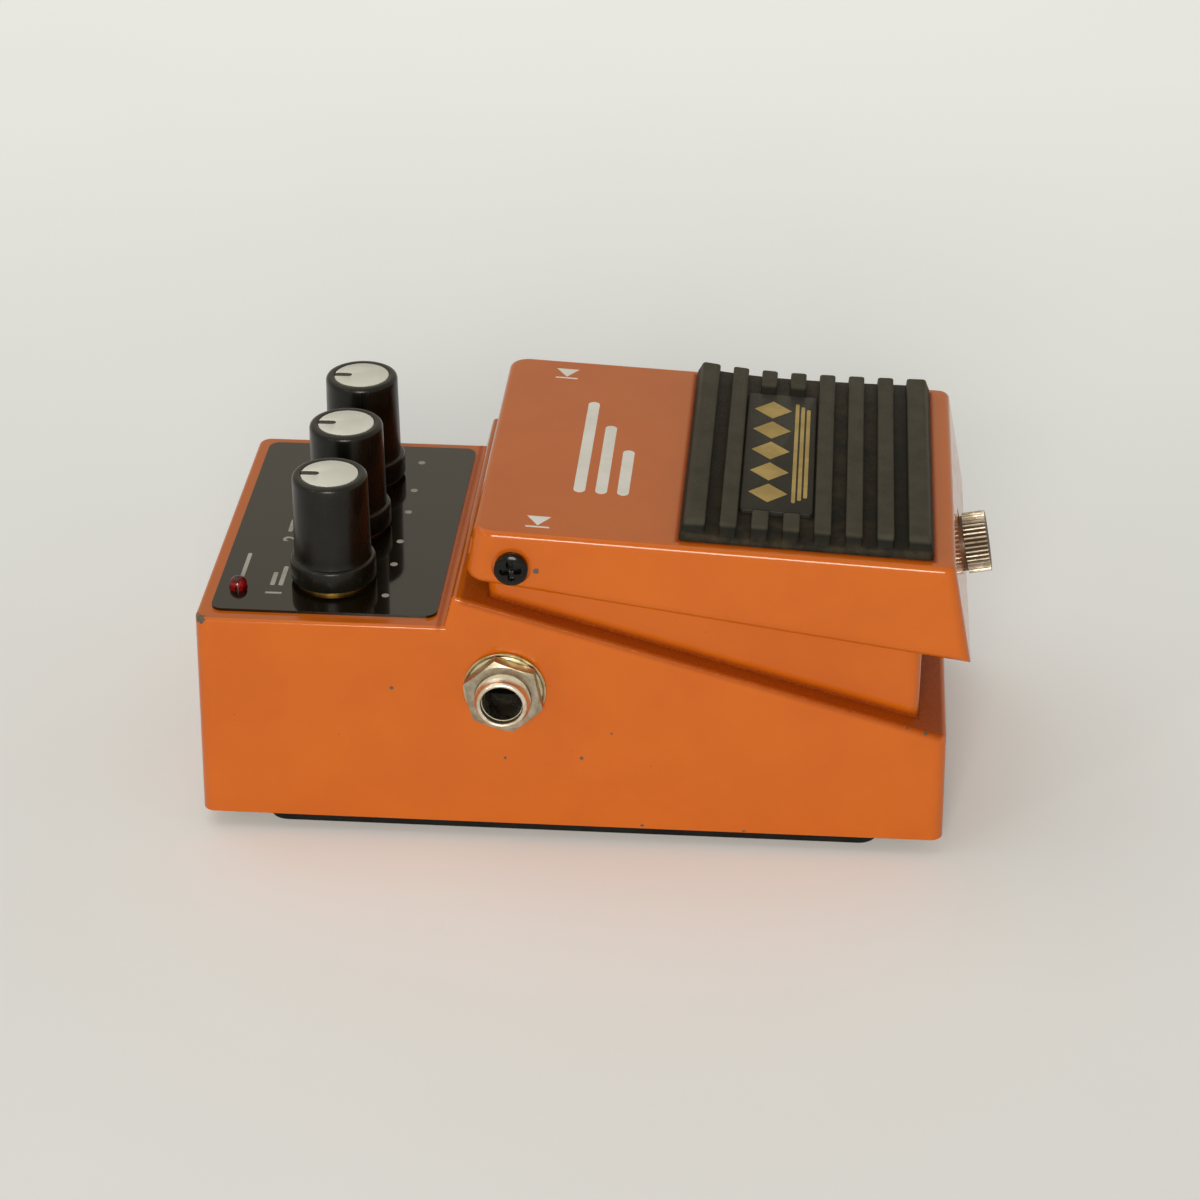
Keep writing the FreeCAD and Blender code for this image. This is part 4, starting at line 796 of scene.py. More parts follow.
class Shape:
    """A mesh worked in millimetres at its own seat, then handed over as one piece."""

    def __init__(self, seat: Matrix = Matrix.Identity(4)) -> None:
        """Start an empty shape whose own coordinates lie at a seat, in millimetres."""
        self.mesh = bmesh.new()
        self.seat = seat

    def loft(self, rings: Sequence[Ring], closed: bool = False) -> "Shape":
        """Skin a row of rings.

        Args:
            rings: outlines with as many points each.
            closed: the last ring joins the first, and there are no ends.
        Returns:
            The shape.
        """
        rows = [[self.mesh.verts.new(point) for point in ring] for ring in rings]
        pairs = list(zip(rows, rows[1:])) + ([(rows[-1], rows[0])] if closed else [])
        for low, high in pairs:
            for k in range(len(low)):
                after = (k + 1) % len(low)
                self.mesh.faces.new((low[k], low[after], high[after], high[k]))
        if not closed:
            self.mesh.faces.new(rows[0][::-1])
            self.mesh.faces.new(rows[-1])
        return self

    def slab(self, *sections: Section, steps: int = 4) -> "Shape":
        """Skin a row of rounded rectangles, from the lowest to the highest."""
        return self.loft([section.ring(steps) for section in sections])

    def bar(self, x: Pair, y: Pair, z: Pair, corner: float, steps: int = 4) -> "Shape":
        """Add a bar with rounded corners, from where it starts to where it ends along each axis."""
        return self.slab(*[Section(height, x, y, corner) for height in z], steps=steps)

    def lathe(self, profile: Sequence[Pair], steps: int = 64) -> "Shape":
        """Turn a profile round the seat's Z axis.

        Args:
            profile: (radius, height) points.
            steps: segments round.
        Returns:
            The shape.
        """
        verts = [self.mesh.verts.new((r, 0, z)) for r, z in profile]
        edges = [self.mesh.edges.new(pair) for pair in zip(verts, verts[1:])]
        bmesh.ops.spin(
            self.mesh, geom=verts + edges, cent=(0, 0, 0), axis=(0, 0, 1), dvec=(0, 0, 0),
            angle=math.tau, steps=steps, use_merge=True, use_duplicate=False,
        )
        return self

    def prism(self, outline: Sequence[Pair], low: float, high: float, edge: float = 0.0) -> "Shape":
        """Raise an outline, and round its top edge.

        Args:
            outline: its (x, y) points, counter-clockwise.
            low, high: its foot and its top.
            edge: the bevel's width.
        Returns:
            The shape.
        """
        face = self.mesh.faces.new([self.mesh.verts.new((x, y, low)) for x, y in outline])
        raised = bmesh.ops.extrude_face_region(self.mesh, geom=[face], use_keep_orig=True)["geom"]
        verts = [item for item in raised if isinstance(item, bmesh.types.BMVert)]
        bmesh.ops.translate(self.mesh, verts=verts, vec=(0, 0, high - low))
        if edge:
            rim = {e for v in verts for e in v.link_edges if all(w in verts for w in e.verts)}
            bmesh.ops.bevel(
                self.mesh, geom=list(rim), offset=edge, offset_type="OFFSET", segments=2,
                profile=0.5, affect="EDGES", material=-1,
            )
        return self

    def finish(
        self, name: str, body: Body, finish: Finish, replaces: Sequence[str] = (), sharp: float = 38.0
    ) -> bpy.types.Object:
        """Close the mesh and hand it over as a dressed piece.

        Args:
            name: the piece's name.
            body: the body it rides on.
            finish: what it looks like.
            replaces: the CAD nodes that it stands for.
            sharp: edges steeper than this many degrees stay sharp.
        Returns:
            The object.
        """
        bmesh.ops.remove_doubles(self.mesh, verts=self.mesh.verts, dist=WELD)
        bmesh.ops.transform(self.mesh, matrix=Matrix.Scale(MM, 4) @ self.seat, verts=self.mesh.verts)
        bmesh.ops.recalc_face_normals(self.mesh, faces=self.mesh.faces)
        data = bpy.data.meshes.new(name)
        self.mesh.to_mesh(data)
        self.mesh.free()
        data.shade_smooth()
        data.set_sharp_from_angle(angle=math.radians(sharp))
        return hand_over(name, data, body, finish, replaces)


def hand_over(
    name: str, data: bpy.types.ID, body: Body, finish: Finish, replaces: Sequence[str] = ()
) -> bpy.types.Object:
    """Link a mesh or curve as a piece that rides on its body.

    Args:
        name: the piece's name.
        data: its mesh or curve, in metres in the frame's coordinates.
        body: the body it rides on.
        finish: what it looks like.
        replaces: the CAD nodes that it stands for.
    Returns:
        The object.
    """
    piece = bpy.data.objects.new(name, data)
    bpy.context.scene.collection.objects.link(piece)
    data.materials.append(finish.material())
    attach(piece, body.value)
    if replaces:
        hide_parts(*replaces)
    log.info("%s rides on %s", name, body.value)
    return piece


def dress(finish: Finish, *nodes: str) -> None:
    """Give CAD nodes a finish.

    Args:
        finish: what they look like.
        nodes: their names.
    """
    for node in nodes:
        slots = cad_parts[node].data.materials
        for index in range(len(slots)):
            slots[index] = finish.material()
        log.info("%s keeps its CAD mesh", node)


def box_of(node: str) -> tuple[Vector, Vector]:
    """The low and the high corner of a CAD node's box, in millimetres."""
    low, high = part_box(node)
    return low / MM, high / MM


def middle(node: str) -> Vector:
    """The middle of a CAD node's box, in millimetres."""
    low, high = box_of(node)
    return (low + high) / 2


def seat_at(point: Sequence[float], turn: Matrix = Matrix.Identity(4)) -> Matrix:
    """A seat at a point, with a turn."""
    return Matrix.Translation(point) @ turn


def along(direction: Sequence[float]) -> Matrix:
    """The turn that lays Z along a direction."""
    return Vector(direction).to_track_quat("Z", "Y").to_matrix().to_4x4()


# The treadle's top falls towards its front: the drop over the run
TILT = math.atan((6.35 - 2.3) / 79.5)
TREAD_AT = (0.0, -17.9, 57.723)
TREAD_SEAT = seat_at(TREAD_AT, Matrix.Rotation(TILT, 4, "X"))
# The jacks' axis, and where their housings end inside the side walls
JACK_Y, JACK_Z = 10.9, 29.7
WALL_X = 32.4
# The thumbscrew's seat, and the way that it points
THUMB_AT = (0.0, -66.055, 42.1)
THUMB_WAY = (0.0, -0.98205, 0.18864)
THUMB_TURN = (math.atan2(-THUMB_WAY[1], THUMB_WAY[2]), 0.0, 0.0)

# Chips in the paint: place and radius
CASE_CHIPS = (
    ((-34.2, 62.6, 41.0), 1.25), ((-34.4, 58.6, 41.0), 0.25), ((-34.7, -60.2, 24.3), 0.5),
    ((-34.7, -62.6, 23.6), 0.45), ((-34.6, -57.0, 25.1), 0.3), ((-34.6, -47.3, 27.9), 0.34),
    ((-34.6, -38.0, 30.7), 0.26), ((-34.5, -25.4, 34.4), 0.34), ((-34.5, -19.6, 35.9), 0.26),
    ((-34.4, 4.0, 42.6), 0.3), ((-35.0, -64.0, 3.8), 0.6), ((-34.6, 30.2, 29.0), 0.34),
    ((-34.8, 11.0, 16.1), 0.26), ((-34.8, -2.1, 16.6), 0.34), ((-34.7, -7.2, 21.7), 0.24),
    ((-35.0, -12.5, 3.6), 0.3), ((-35.0, -30.0, 3.3), 0.25), ((-35.0, 63.6, 5.0), 0.4),
    ((-32.6, 63.3, 40.9), 0.5), ((34.4, 61.0, 41.0), 0.5), ((34.6, -58.0, 24.8), 0.4),
    ((10.0, -64.0, 22.6), 0.35), ((-15.0, 64.0, 40.6), 0.3),
)
TREADLE_CHIPS = (
    ((-34.5, 5.4, 52.5), 0.5), ((-34.2, 4.6, 53.3), 0.2), ((-34.9, -66.0, 38.4), 0.3),
    ((-34.6, -22.0, 41.2), 0.25), ((-31.2, -63.0, 55.0), 0.2), ((34.4, -30.0, 56.0), 0.3),
    ((12.0, -66.2, 40.0), 0.3),
)

# Painted shade mixed with dirt: over the whole sloping ledge beside the battery box, which the treadle overhangs,
# darker in the crease along the box's foot, and along the deck's front edge
LEDGE = ((0.0, -22.5, 35.02), math.atan((46.9 - 23.3) / 83.6), 31.0, 37.8)
CASE_SEAMS = (
    # The whole ledge: painted shade under the treadle's overhang, with dirt
    Seam(*LEDGE, reach=4.7, strength=0.54, core=4.0),
    # A darker line: painted shade in the crease at the box's foot, with dirt
    Seam(*LEDGE, reach=0.8, strength=0.8),
    # Painted shade and dirt along the deck's front edge, at the foot of the ridge
    Seam((0.0, 62.0, 41.2), 0.0, 40.0, 40.0, reach=0.7, strength=0.4, core=0.1),
)
PAINT = (tone(201, 99, 13), tone(196, 94, 10), (0.09, 0.16))
CASE_PAINT = Enamel("orange_paint", *PAINT, depth=0.004, gloss=0.4, chips=CASE_CHIPS, seams=CASE_SEAMS)
TREADLE_PAINT = Enamel(
    "orange_paint", *PAINT, depth=0.004, gloss=0.4, chips=TREADLE_CHIPS,
    # Painted contact shadow, with dirt, round the foot of the tread mat
    seams=(Seam((0.0, -38.9, 56.65), TILT, 31.9, 21.0, reach=1.1, strength=0.8),),
)
PANEL = Gloss("panel_black", tone(120, 116, 106), tone(20, 14, 5), (0.05, 0.12), depth=0.0015)
KNOB = Finish(
    "knob_black", tone(20, 18, 12), tone(12, 10, 7), (0.24, 0.32), mottle=0.2, grain=1.1, depth=0.0008,
    stretch=(2, 2, 0.15), gloss=0.3,
)
INLAY = Finish("inlay_white", tone(230, 230, 220), tone(220, 220, 208), (0.3, 0.45), grain=2.0, depth=0.003)
INK = Finish("inlay_white", tone(236, 234, 226), tone(226, 224, 214), (0.4, 0.55), grain=4.0, depth=0.003)
FAINT_INK = Finish("inlay_white", tone(184, 182, 170), tone(160, 158, 148), (0.4, 0.55), grain=4.0, depth=0.003)
GOLD = Finish("brass", tone(178, 152, 84), tone(156, 130, 66), (0.35, 0.5), 0.35, grain=3.0, depth=0.004)
# Its light tone paints the rib tops' rubbed wear together with a painted sheen
RUBBER = TreadRubber(
    "tread_rubber", tone(70, 67, 56), tone(23, 22, 17), (0.5, 0.68), depth=0.012, gloss=0.12,
    origin=TREAD_AT, tilt=TILT,
)
PLATE = Finish("plate_grey", tone(44, 42, 35), tone(38, 36, 30), (0.38, 0.5), grain=2.5, depth=0.005, gloss=0.14)
SOCKET = Finish("switch_black", tone(14, 14, 13), tone(9, 9, 8), (0.5, 0.65), grain=2.0, depth=0.006, gloss=0.15)
SOLE = Finish("base_rubber", tone(24, 24, 21), tone(15, 15, 14), (0.6, 0.8), grain=1.6, depth=0.03, gloss=0.2)
SMALL_RUBBER = Finish("switch_black", tone(24, 24, 22), tone(14, 14, 13), (0.5, 0.7), grain=2.5, depth=0.01)
NICKEL = Finish(
    "nickel", tone(186, 178, 160), tone(152, 143, 122), (0.3, 0.42), 1.0, mottle=0.45, grain=2.4, depth=0.004
)
# Its inside tone is painted shade, laid below the bore radius in the notches between the knurl's teeth
KNURL = TurnedMetal(
    "nickel", tone(190, 182, 168), tone(152, 140, 120), (0.36, 0.48), 1.0, mottle=0.5, depth=0.004,
    origin=THUMB_AT, turn=THUMB_TURN, bore=4.96, inside=tone(96, 74, 52),
)
JACK_NICKEL = TurnedMetal(
    "nickel", tone(230, 224, 208), tone(196, 184, 158), (0.18, 0.32), 1.0, mottle=0.4, depth=0.006,
    origin=(0, JACK_Y, JACK_Z), bore=3.3,
)
WASHER_NICKEL = TurnedMetal(
    "nickel", tone(206, 194, 160), tone(152, 134, 88), (0.2, 0.36), 1.0, mottle=0.25, depth=0.014,
    origin=(0, JACK_Y, JACK_Z), rings=3.0,
)
BLACK_STEEL = Finish(
    "black_steel", tone(18, 17, 14), tone(9, 9, 8), (0.1, 0.2), 0.1, grain=4.0, depth=0.006, gloss=0.24
)
ZINC = Finish("zinc_steel", tone(196, 194, 184), tone(150, 148, 140), (0.3, 0.45), 1.0, grain=3.0, depth=0.006)
SPRING = Finish("spring_steel", tone(170, 168, 160), tone(120, 118, 112), (0.25, 0.4), 1.0, grain=5.0, depth=0.004)
BRASS = Finish("brass", tone(168, 134, 66), tone(112, 82, 34), (0.3, 0.5), 1.0, grain=3.0, depth=0.005)
CAN = Finish("aluminium_can", tone(206, 206, 204), tone(176, 176, 174), (0.3, 0.45), 1.0, grain=2.0, depth=0.004)
BOARD = Pattern(
    "board_green", tone(26, 84, 50), tone(60, 124, 74), (0.3, 0.45), cell=0.32, wall=(0.03, 0.06), depth=0.02
)
CHIP = Finish("chip_black", tone(30, 30, 31), tone(18, 18, 19), (0.5, 0.65), grain=4.0, depth=0.01)
CAPACITOR = Banded(
    "capacitor_blue", tone(34, 62, 128), tone(26, 48, 104), (0.3, 0.4), axis=Axis.Z, edge=22.0, coat=0.3
)
SWITCH = Finish("switch_black", tone(28, 28, 27), tone(17, 17, 16), (0.35, 0.5), grain=2.0, depth=0.006)
NYLON = Finish("nylon_white", tone(232, 230, 220), tone(216, 212, 198), (0.35, 0.5), grain=2.0, depth=0.004)
WRAP = Banded(
    "battery_wrap", tone(176, 104, 52), tone(30, 32, 40), (0.25, 0.36), 0.2, axis=Axis.X, edge=6.0, coat=0.4
)
VINYL = Finish("snap_vinyl", tone(30, 29, 28), tone(18, 18, 17), (0.35, 0.5), grain=2.0, depth=0.01)
LAMP_RED = Lens("lamp_red", tone(150, 8, 10), tone(58, 2, 4), (0.08, 0.16), depth=0.05, gloss=0.3)
LEAD_RED = Finish("lead_vinyl", tone(168, 26, 20), tone(138, 18, 14), (0.3, 0.45), grain=2.0, depth=0.006)
LEAD_BLACK = Finish("lead_vinyl", tone(30, 29, 28), tone(18, 18, 18), (0.3, 0.45), grain=2.2, depth=0.006)
FOAM = Pattern(
    "foam_grey", tone(96, 94, 90), tone(58, 56, 53), (0.85, 0.95), cell=1.6, wall=(0.06, 0.2), depth=0.12
)


@dataclass(frozen=True)
class Tread:
    """The ribbed rubber mat on the treadle, with the printed plate let into it."""

    half_x: float = 31.9
    length: float = 42.1
    base: float = 1.0
    top: float = 3.0
    corner: float = 0.9
    base_levels: Pairs = ((0.0, 0.0), (0.3, 0.0), (0.75, 0.0), (0.93, 0.05), (1.0, 0.2))
    side_slope: float = 1.9
    back_slope: float = 1.1
    front_slope: float = 1.1
    slope_foot: float = 0.3
    rib_half: float = 1.4
    rib_corner: float = 0.35
    rib_levels: Pairs = ((0.6, 0.0), (2.55, 0.0), (2.8, 0.07), (2.93, 0.18), (3.0, 0.36))
    first_rib: float = -2.75
    pitch: float = 5.2
    ribs: int = 8
    cut_ribs: tuple[int, ...] = (2, 3)
    cut_slope: float = 0.9
    room_half: float = 22.75
    slice_pitch: float = 2.0
    least_rise: float = 0.05
    hollow_at: float = -17.0
    hollow_back: float = 0.95
    hollow_front: float = 0.8
    hollow_bend: float = 1.5
    plate_half: float = 22.5
    plate_y: Pair = (-21.9, -9.6)
    plate_corner: float = 0.6
    plate_levels: Pairs = ((-1.05, 0.0), (-0.25, 0.0), (-0.07, 0.08), (0.0, 0.25))
    plate_top: float = 1.95
    ink: Pair = (-0.02, 0.03)
    ink_shift: float = 1.6
    diamonds: int = 5
    diamond_pitch: float = 8.0
    diamond_half: Pair = (3.4, 3.3)
    lines: Pairs = ((4.3, 19.0), (5.3, 18.0), (6.3, 17.0))
    line_half: float = 0.33
    line_corner: float = 0.3

    def share(self, z: float) -> float:
        """How far up the mat's sloping side a height is, from 0 to 1."""
        return max(0.0, (z - self.slope_foot) / (self.top - self.slope_foot))

    def rise(self, y: float) -> float:
        """How much higher the dished mat stands towards its two ends.

        Args:
            y: a place along the mat, which runs from its back edge at 0 to its front.
        Returns:
            The rise in millimetres.
        """
        if y > self.hollow_at:
            return self.least_rise + self.hollow_back * ((y - self.hollow_at) / -self.hollow_at) ** 2
        far = (self.hollow_at - y) / (self.length + self.hollow_at)
        return self.least_rise + self.hollow_front * far ** self.hollow_bend

    def base_level(self, z: float, inset: float) -> Section:
        """The mat's outline.

        Args:
            z: the height.
            inset: how far it is drawn in there.
        Returns:
            The section.
        """
        up = self.share(z)
        x = self.half_x - self.side_slope * up - inset
        back, front = -self.back_slope * up - inset, -self.length + self.front_slope * up + inset
        return Section(z, (-x, x), (front, back), self.corner)

    def rib(self, shape: Shape, number: int, inner: Optional[float] = None, hand: int = 1) -> None:
        """Add a rib, or half of one that the plate interrupts.

        Args:
            shape: what it is added to.
            number: the rib's place from the back.
            inner: where a half rib starts, at the mat's base.
            hand: which half it is.
        """
        middle_y = self.first_rib - self.pitch * number
        sections = []
        for z, inset in self.rib_levels:
            up = self.share(z)
            back = -self.back_slope * up if number == 0 else middle_y + self.rib_half
            front = middle_y - self.rib_half
            if number == self.ribs - 1:
                front = -self.length + self.front_slope * up
            x_out = self.half_x - self.side_slope * up - inset
            x_in = -x_out if inner is None else inner + (z - self.base) * self.cut_slope + inset
            x = (x_in, x_out) if hand > 0 else (-x_out, -x_in)
            sections.append(Section(z, x, (front + inset, back - inset), self.rib_corner))
        shape.slab(*sections)

    def dish(self, mat: Shape) -> None:
        """Cut the mat across in even slices, and lift them into its dished form.

        Args:
            mat: the flat mat.
        """
        for cut in range(1, int(self.length / self.slice_pitch)):
            whole = [*mat.mesh.verts, *mat.mesh.edges, *mat.mesh.faces]
            bmesh.ops.bisect_plane(
                mat.mesh, geom=whole, dist=WELD, plane_co=(0, -self.slice_pitch * cut, 0), plane_no=(0, 1, 0)
            )
        for vert in mat.mesh.verts:
            vert.co.z += self.rise(vert.co.y) * clamp(vert.co.z)

    def build(self) -> None:
        """Make the mat, the plate and the plate's print."""
        mat = Shape(TREAD_SEAT).slab(*[self.base_level(z, inset) for z, inset in self.base_levels], steps=5)
        for number in range(self.ribs):
            if number in self.cut_ribs:
                for hand in (-1, 1):
                    self.rib(mat, number, self.room_half, hand)
            else:
                self.rib(mat, number)
        self.dish(mat)
        mat.finish("tread_mat", Body.TREADLE, RUBBER, ["treadle_pad"])
        low, high = self.plate_y
        plate = Shape(TREAD_SEAT).slab(*[
            Section(
                self.plate_top + z, (inset - self.plate_half, self.plate_half - inset), (low + inset, high - inset),
                self.plate_corner,
            )
            for z, inset in self.plate_levels
        ])
        plate.finish("tread_badge", Body.TREADLE, PLATE, ["tread_plate"])
        self.badge_print()

    def badge_print(self) -> None:
        """Print a row of diamonds and three lines on the plate."""
        ink = Shape(TREAD_SEAT)
        foot, top = (self.plate_top + z for z in self.ink)
        centre, (wide, tall) = sum(self.plate_y) / 2 + self.ink_shift, self.diamond_half
        for number in range(self.diamonds):
            x = (number - (self.diamonds - 1) / 2) * self.diamond_pitch
            ink.prism([(x + wide, centre), (x, centre + tall), (x - wide, centre), (x, centre - tall)], foot, top)
        for drop, half in self.lines:
            y = centre - drop
            ink.bar((-half, half), (y - self.line_half, y + self.line_half), (foot, top), self.line_corner)
        ink.finish("badge_print", Body.TREADLE, GOLD)


@dataclass(frozen=True)
class TreadlePrint:
    """The white marks on the treadle's top: three bars and two arrows."""

    thickness: Pair = (-0.01, 0.035)
    bar_lengths: tuple[float, ...] = (35.0, 26.0, 17.0)
    bar_start: float = -17.5
    bar_y: float = 17.6
    bar_pitch: float = 3.7
    bar_half: float = 1.0
    arrow_x: float = 28.8
    arrow_y: Pair = (21.4, 25.4)
    arrow_tip: float = 1.7
    arrow_back: float = 1.5
    stop_x: Pair = (2.4, 2.0)
    stop_corner: float = 0.15

    def build(self) -> None:
        """Make the print as thin raised ink."""
        ink = Shape(TREAD_SEAT)
        for row, length in enumerate(self.bar_lengths):
            y = self.bar_y - row * self.bar_pitch
            ink.bar(
                (self.bar_start, self.bar_start + length), (y - self.bar_half, y + self.bar_half), self.thickness,
                self.bar_half, steps=6,
            )
        low, high = self.arrow_y
        for x in (-self.arrow_x, self.arrow_x):
            tip, back = (x - self.arrow_tip, (low + high) / 2), x + self.arrow_back
            ink.prism([tip, (back, low), (back, high)], *self.thickness)
            ink.bar((x - self.stop_x[0], x - self.stop_x[1]), self.arrow_y, self.thickness, self.stop_corner)
        ink.finish("treadle_print", Body.TREADLE, INK)


@dataclass(frozen=True)
class Knob:
    """A tall pointer knob with a skirt, and its white cap."""

    radius: float = 6.5
    taper: float = 0.1
    height: float = 18.6
    socket: Pair = (3.15, 13.9)
    hollow: Pair = (6.55, 2.4)
    hollow_edge: float = 0.1
    skirt: float = 7.3
    skirt_height: float = 3.2
    skirt_drop: float = 0.75
    skirt_foot: Pairs = ((-0.3, 0.0), (-0.08, 0.1), (0.0, 0.35))
    skirt_edge: Pairs = ((0.0, -0.5), (-0.06, -0.3), (-0.22, -0.1), (-0.42, 0.0))
    neck: Pairs = ((0.16, 0.0), (0.05, 0.06), (0.0, 0.22), (-0.01, 1.2))
    crown: Pairs = ((0.01, -1.4), (0.0, -0.75), (-0.08, -0.42), (-0.25, -0.17), (-0.5, -0.03), (-0.72, 0.0))
    cap_seat: Pairs = ((0.22, 0.0), (0.1, -0.05), (0.06, -0.15))
    cap_radius: float = 4.85
    cap_depth: float = 0.6
    cap_edge: float = 0.1
    cap_gap: float = 0.01
    slit_half: float = 0.72
    slit_length: float = 3.1
    pointer_drop: float = 0.07
    pointer_sunk: float = 0.1
    pointer_gap: float = 0.04
    pointer_rim: float = 0.02
    pointer_round: float = 0.9

    def body_profile(self) -> list[Pair]:
        """The knob's profile, from the socket round the outside to the cap's seat.

        Returns:
            Its (radius, height) points.
        """
        foot, (hole, hole_top), (inside, inside_top) = -self.skirt_drop, self.socket, self.hollow
        return [
            (0, hole_top), (hole, hole_top), (hole, inside_top), (inside, inside_top),
            (inside, foot + self.hollow_edge), (inside + self.hollow_edge, foot),
            *shifted(self.skirt, foot, self.skirt_foot),
            *shifted(self.skirt, self.skirt_height, self.skirt_edge),
            *shifted(self.radius + self.taper, self.skirt_height, self.neck),
            *shifted(self.radius - self.taper, self.height, self.crown),
            *shifted(self.cap_radius, self.height, self.cap_seat),
            (self.cap_radius + self.cap_seat[-1][0], self.height - self.cap_depth), (0, self.height - self.cap_depth),
        ]

    def cap_outline(self, steps: int = 72, slit_steps: int = 8) -> list[Pair]:
        """The cap's outline, with the pointer's round-ended slit.

        Args:
            steps: segments round the rim.
            slit_steps: segments round the slit's end.
        Returns:
            Its points, counter-clockwise.
        """
        opening = math.asin(self.slit_half / self.cap_radius)
        start, turn = math.pi / 2 + opening, math.tau - 2 * opening
        rim = [turned(self.cap_radius, start + turn * k / steps) for k in range(steps + 1)]
        foot = self.cap_radius - self.slit_length + self.slit_half
        end = [turned(self.slit_half, -math.pi * k / slit_steps) for k in range(slit_steps + 1)]
        return [(point.x, point.y) for point in rim] + [(point.x, foot + point.y) for point in end]

    def build(self, name: str) -> None:
        """Make one knob with its cap.

        Args:
            name: the control it belongs to.
        """
        node, body = name + "_knob", Body(name + "_control")
        at, foot = middle(node), box_of(node)[0].z
        seat, cap_foot = seat_at((at.x, at.y, foot)), self.height - self.cap_depth
        grip = Shape(seat).lathe(self.body_profile(), steps=96)
        pointer = self.slit_half - self.pointer_gap
        reach = (self.cap_radius - self.slit_length + self.pointer_gap, self.cap_radius - self.pointer_rim)
        rise = (cap_foot - self.pointer_sunk, self.height - self.pointer_drop)
        grip.bar((-pointer, pointer), reach, rise, pointer * self.pointer_round)
        grip.finish(name + "_grip", body, KNOB, [node])
        cap = Shape(seat).prism(self.cap_outline(), cap_foot + self.cap_gap, self.height, self.cap_edge)
        cap.finish(name + "_inlay", body, INLAY, [node + "_cap"])


@dataclass(frozen=True)
class Panel:
    """The control panel's print and the check lamp."""

    top: float = 41.5
    ink: Pair = (-0.01, 0.02)
    dot_radius: float = 0.65
    dot_steps: int = 20
    dot_reach: float = 11.1
    dot_turn: float = math.radians(150)
    number_size: float = 3.9
    number_bold: float = 0.022
    number_shift: float = -7.0
    number_y: float = 49.9
    line_shift: float = -3.4
    line_reaches: Pair = (6.8, 4.6)
    line_y: float = 50.45
    line_pitch: float = 1.45
    line_half: float = 0.4
    line_corner: float = 0.3
    lamp_line: Pair = (3.2, 12.2)
    lamp_line_half: float = 0.35
    lamp_radius: float = 1.5
    lamp_rise: float = 0.6
    lamp_wall: float = 0.35
    lamp_leg: float = 0.9
    lamp_flange: Pairs = ((0.9, -2.6), (1.88, -2.5), (1.88, -0.6))
    lamp_seat: float = -0.55

    def ink_levels(self) -> Pair:
        """Where the print starts and ends in height."""
        return self.top + self.ink[0], self.top + self.ink[1]

    def dots(self) -> None:
        """Print the dots at both ends of each knob's turn."""
        ink = Shape()
        for name in CONTROLS:
            centre = middle(name + "_knob")
            for hand in (-1, 1):
                x = centre.x + hand * self.dot_reach * math.sin(self.dot_turn)
                y = centre.y + self.dot_reach * math.cos(self.dot_turn)
                rim = [turned(self.dot_radius, angle) for angle in angles(self.dot_steps)]
                ink.prism([(x + point.x, y + point.y) for point in rim], *self.ink_levels())
        ink.finish("panel_dots", Body.CASE, FAINT_INK)

    def number(self, text: str, x: float, y: float) -> None:
        """Print a number on the panel.

        Args:
            text: the digits.
            x, y: their lower left corner.
        """
        curve = bpy.data.curves.new("number_" + text, "FONT")
        curve.body, curve.size, curve.extrude = text, self.number_size, self.ink[1]
        curve.offset = self.number_size * self.number_bold
        written = bpy.data.objects.new("number_" + text, curve)
        bpy.context.scene.collection.objects.link(written)
        bpy.context.view_layer.update()
        data = bpy.data.meshes.new_from_object(written.evaluated_get(bpy.context.evaluated_depsgraph_get()))
        bpy.data.objects.remove(written)
        ink = Shape(seat_at((x, y, self.top)))
        ink.mesh.from_mesh(data)
        ink.finish("panel_number_" + text, Body.CASE, FAINT_INK)

    def labels(self) -> None:
        """Print a number and two short lines above each knob, and a line beside the lamp."""
        ink, z = Shape(), self.ink_levels()
        for number, name in enumerate(CONTROLS, 1):
            centre = middle(name + "_knob")
            self.number(str(number), centre.x + self.number_shift, self.number_y)
            start = centre.x + self.line_shift
            for row, reach in enumerate(self.line_reaches):
                y = self.line_y + self.line_pitch * row
                ink.bar((start, start + reach), (y - self.line_half, y + self.line_half), z, self.line_corner)
        lamp, half = middle("check_led"), self.lamp_line_half
        start, end = self.lamp_line
        ink.bar((lamp.x + start, lamp.x + end), (lamp.y - half, lamp.y + half), z, self.line_corner)
        ink.finish("panel_lines", Body.CASE, FAINT_INK)

    def lamp(self, steps: int = 9) -> None:
        """Make the lamp: a domed lens on its flange.

        Args:
            steps: segments up the dome.
        """
        at, (low, high) = middle("check_led"), box_of("check_led")
        foot, rise = low.z - self.top, high.z + self.lamp_rise - self.top
        dome = [
            (self.lamp_radius * math.cos(a), rise * (self.lamp_wall + (1 - self.lamp_wall) * math.sin(a)))
            for a in (math.pi / 2 * k / steps for k in range(steps + 1))
        ]
        wall = [(self.lamp_radius, self.lamp_seat), (self.lamp_radius, 0)]
        profile = [(0, foot), (self.lamp_leg, foot), *self.lamp_flange, *wall, *dome]
        shape = Shape(seat_at((at.x, at.y, self.top))).lathe(profile, steps=40)
        shape.finish("check_lens", Body.CASE, replace(LAMP_RED, origin=(at.x, at.y, 0)), ["check_led"])

    def build(self) -> None:
        """Make the prints and the lamp."""
        self.dots()
        self.labels()
        self.lamp()


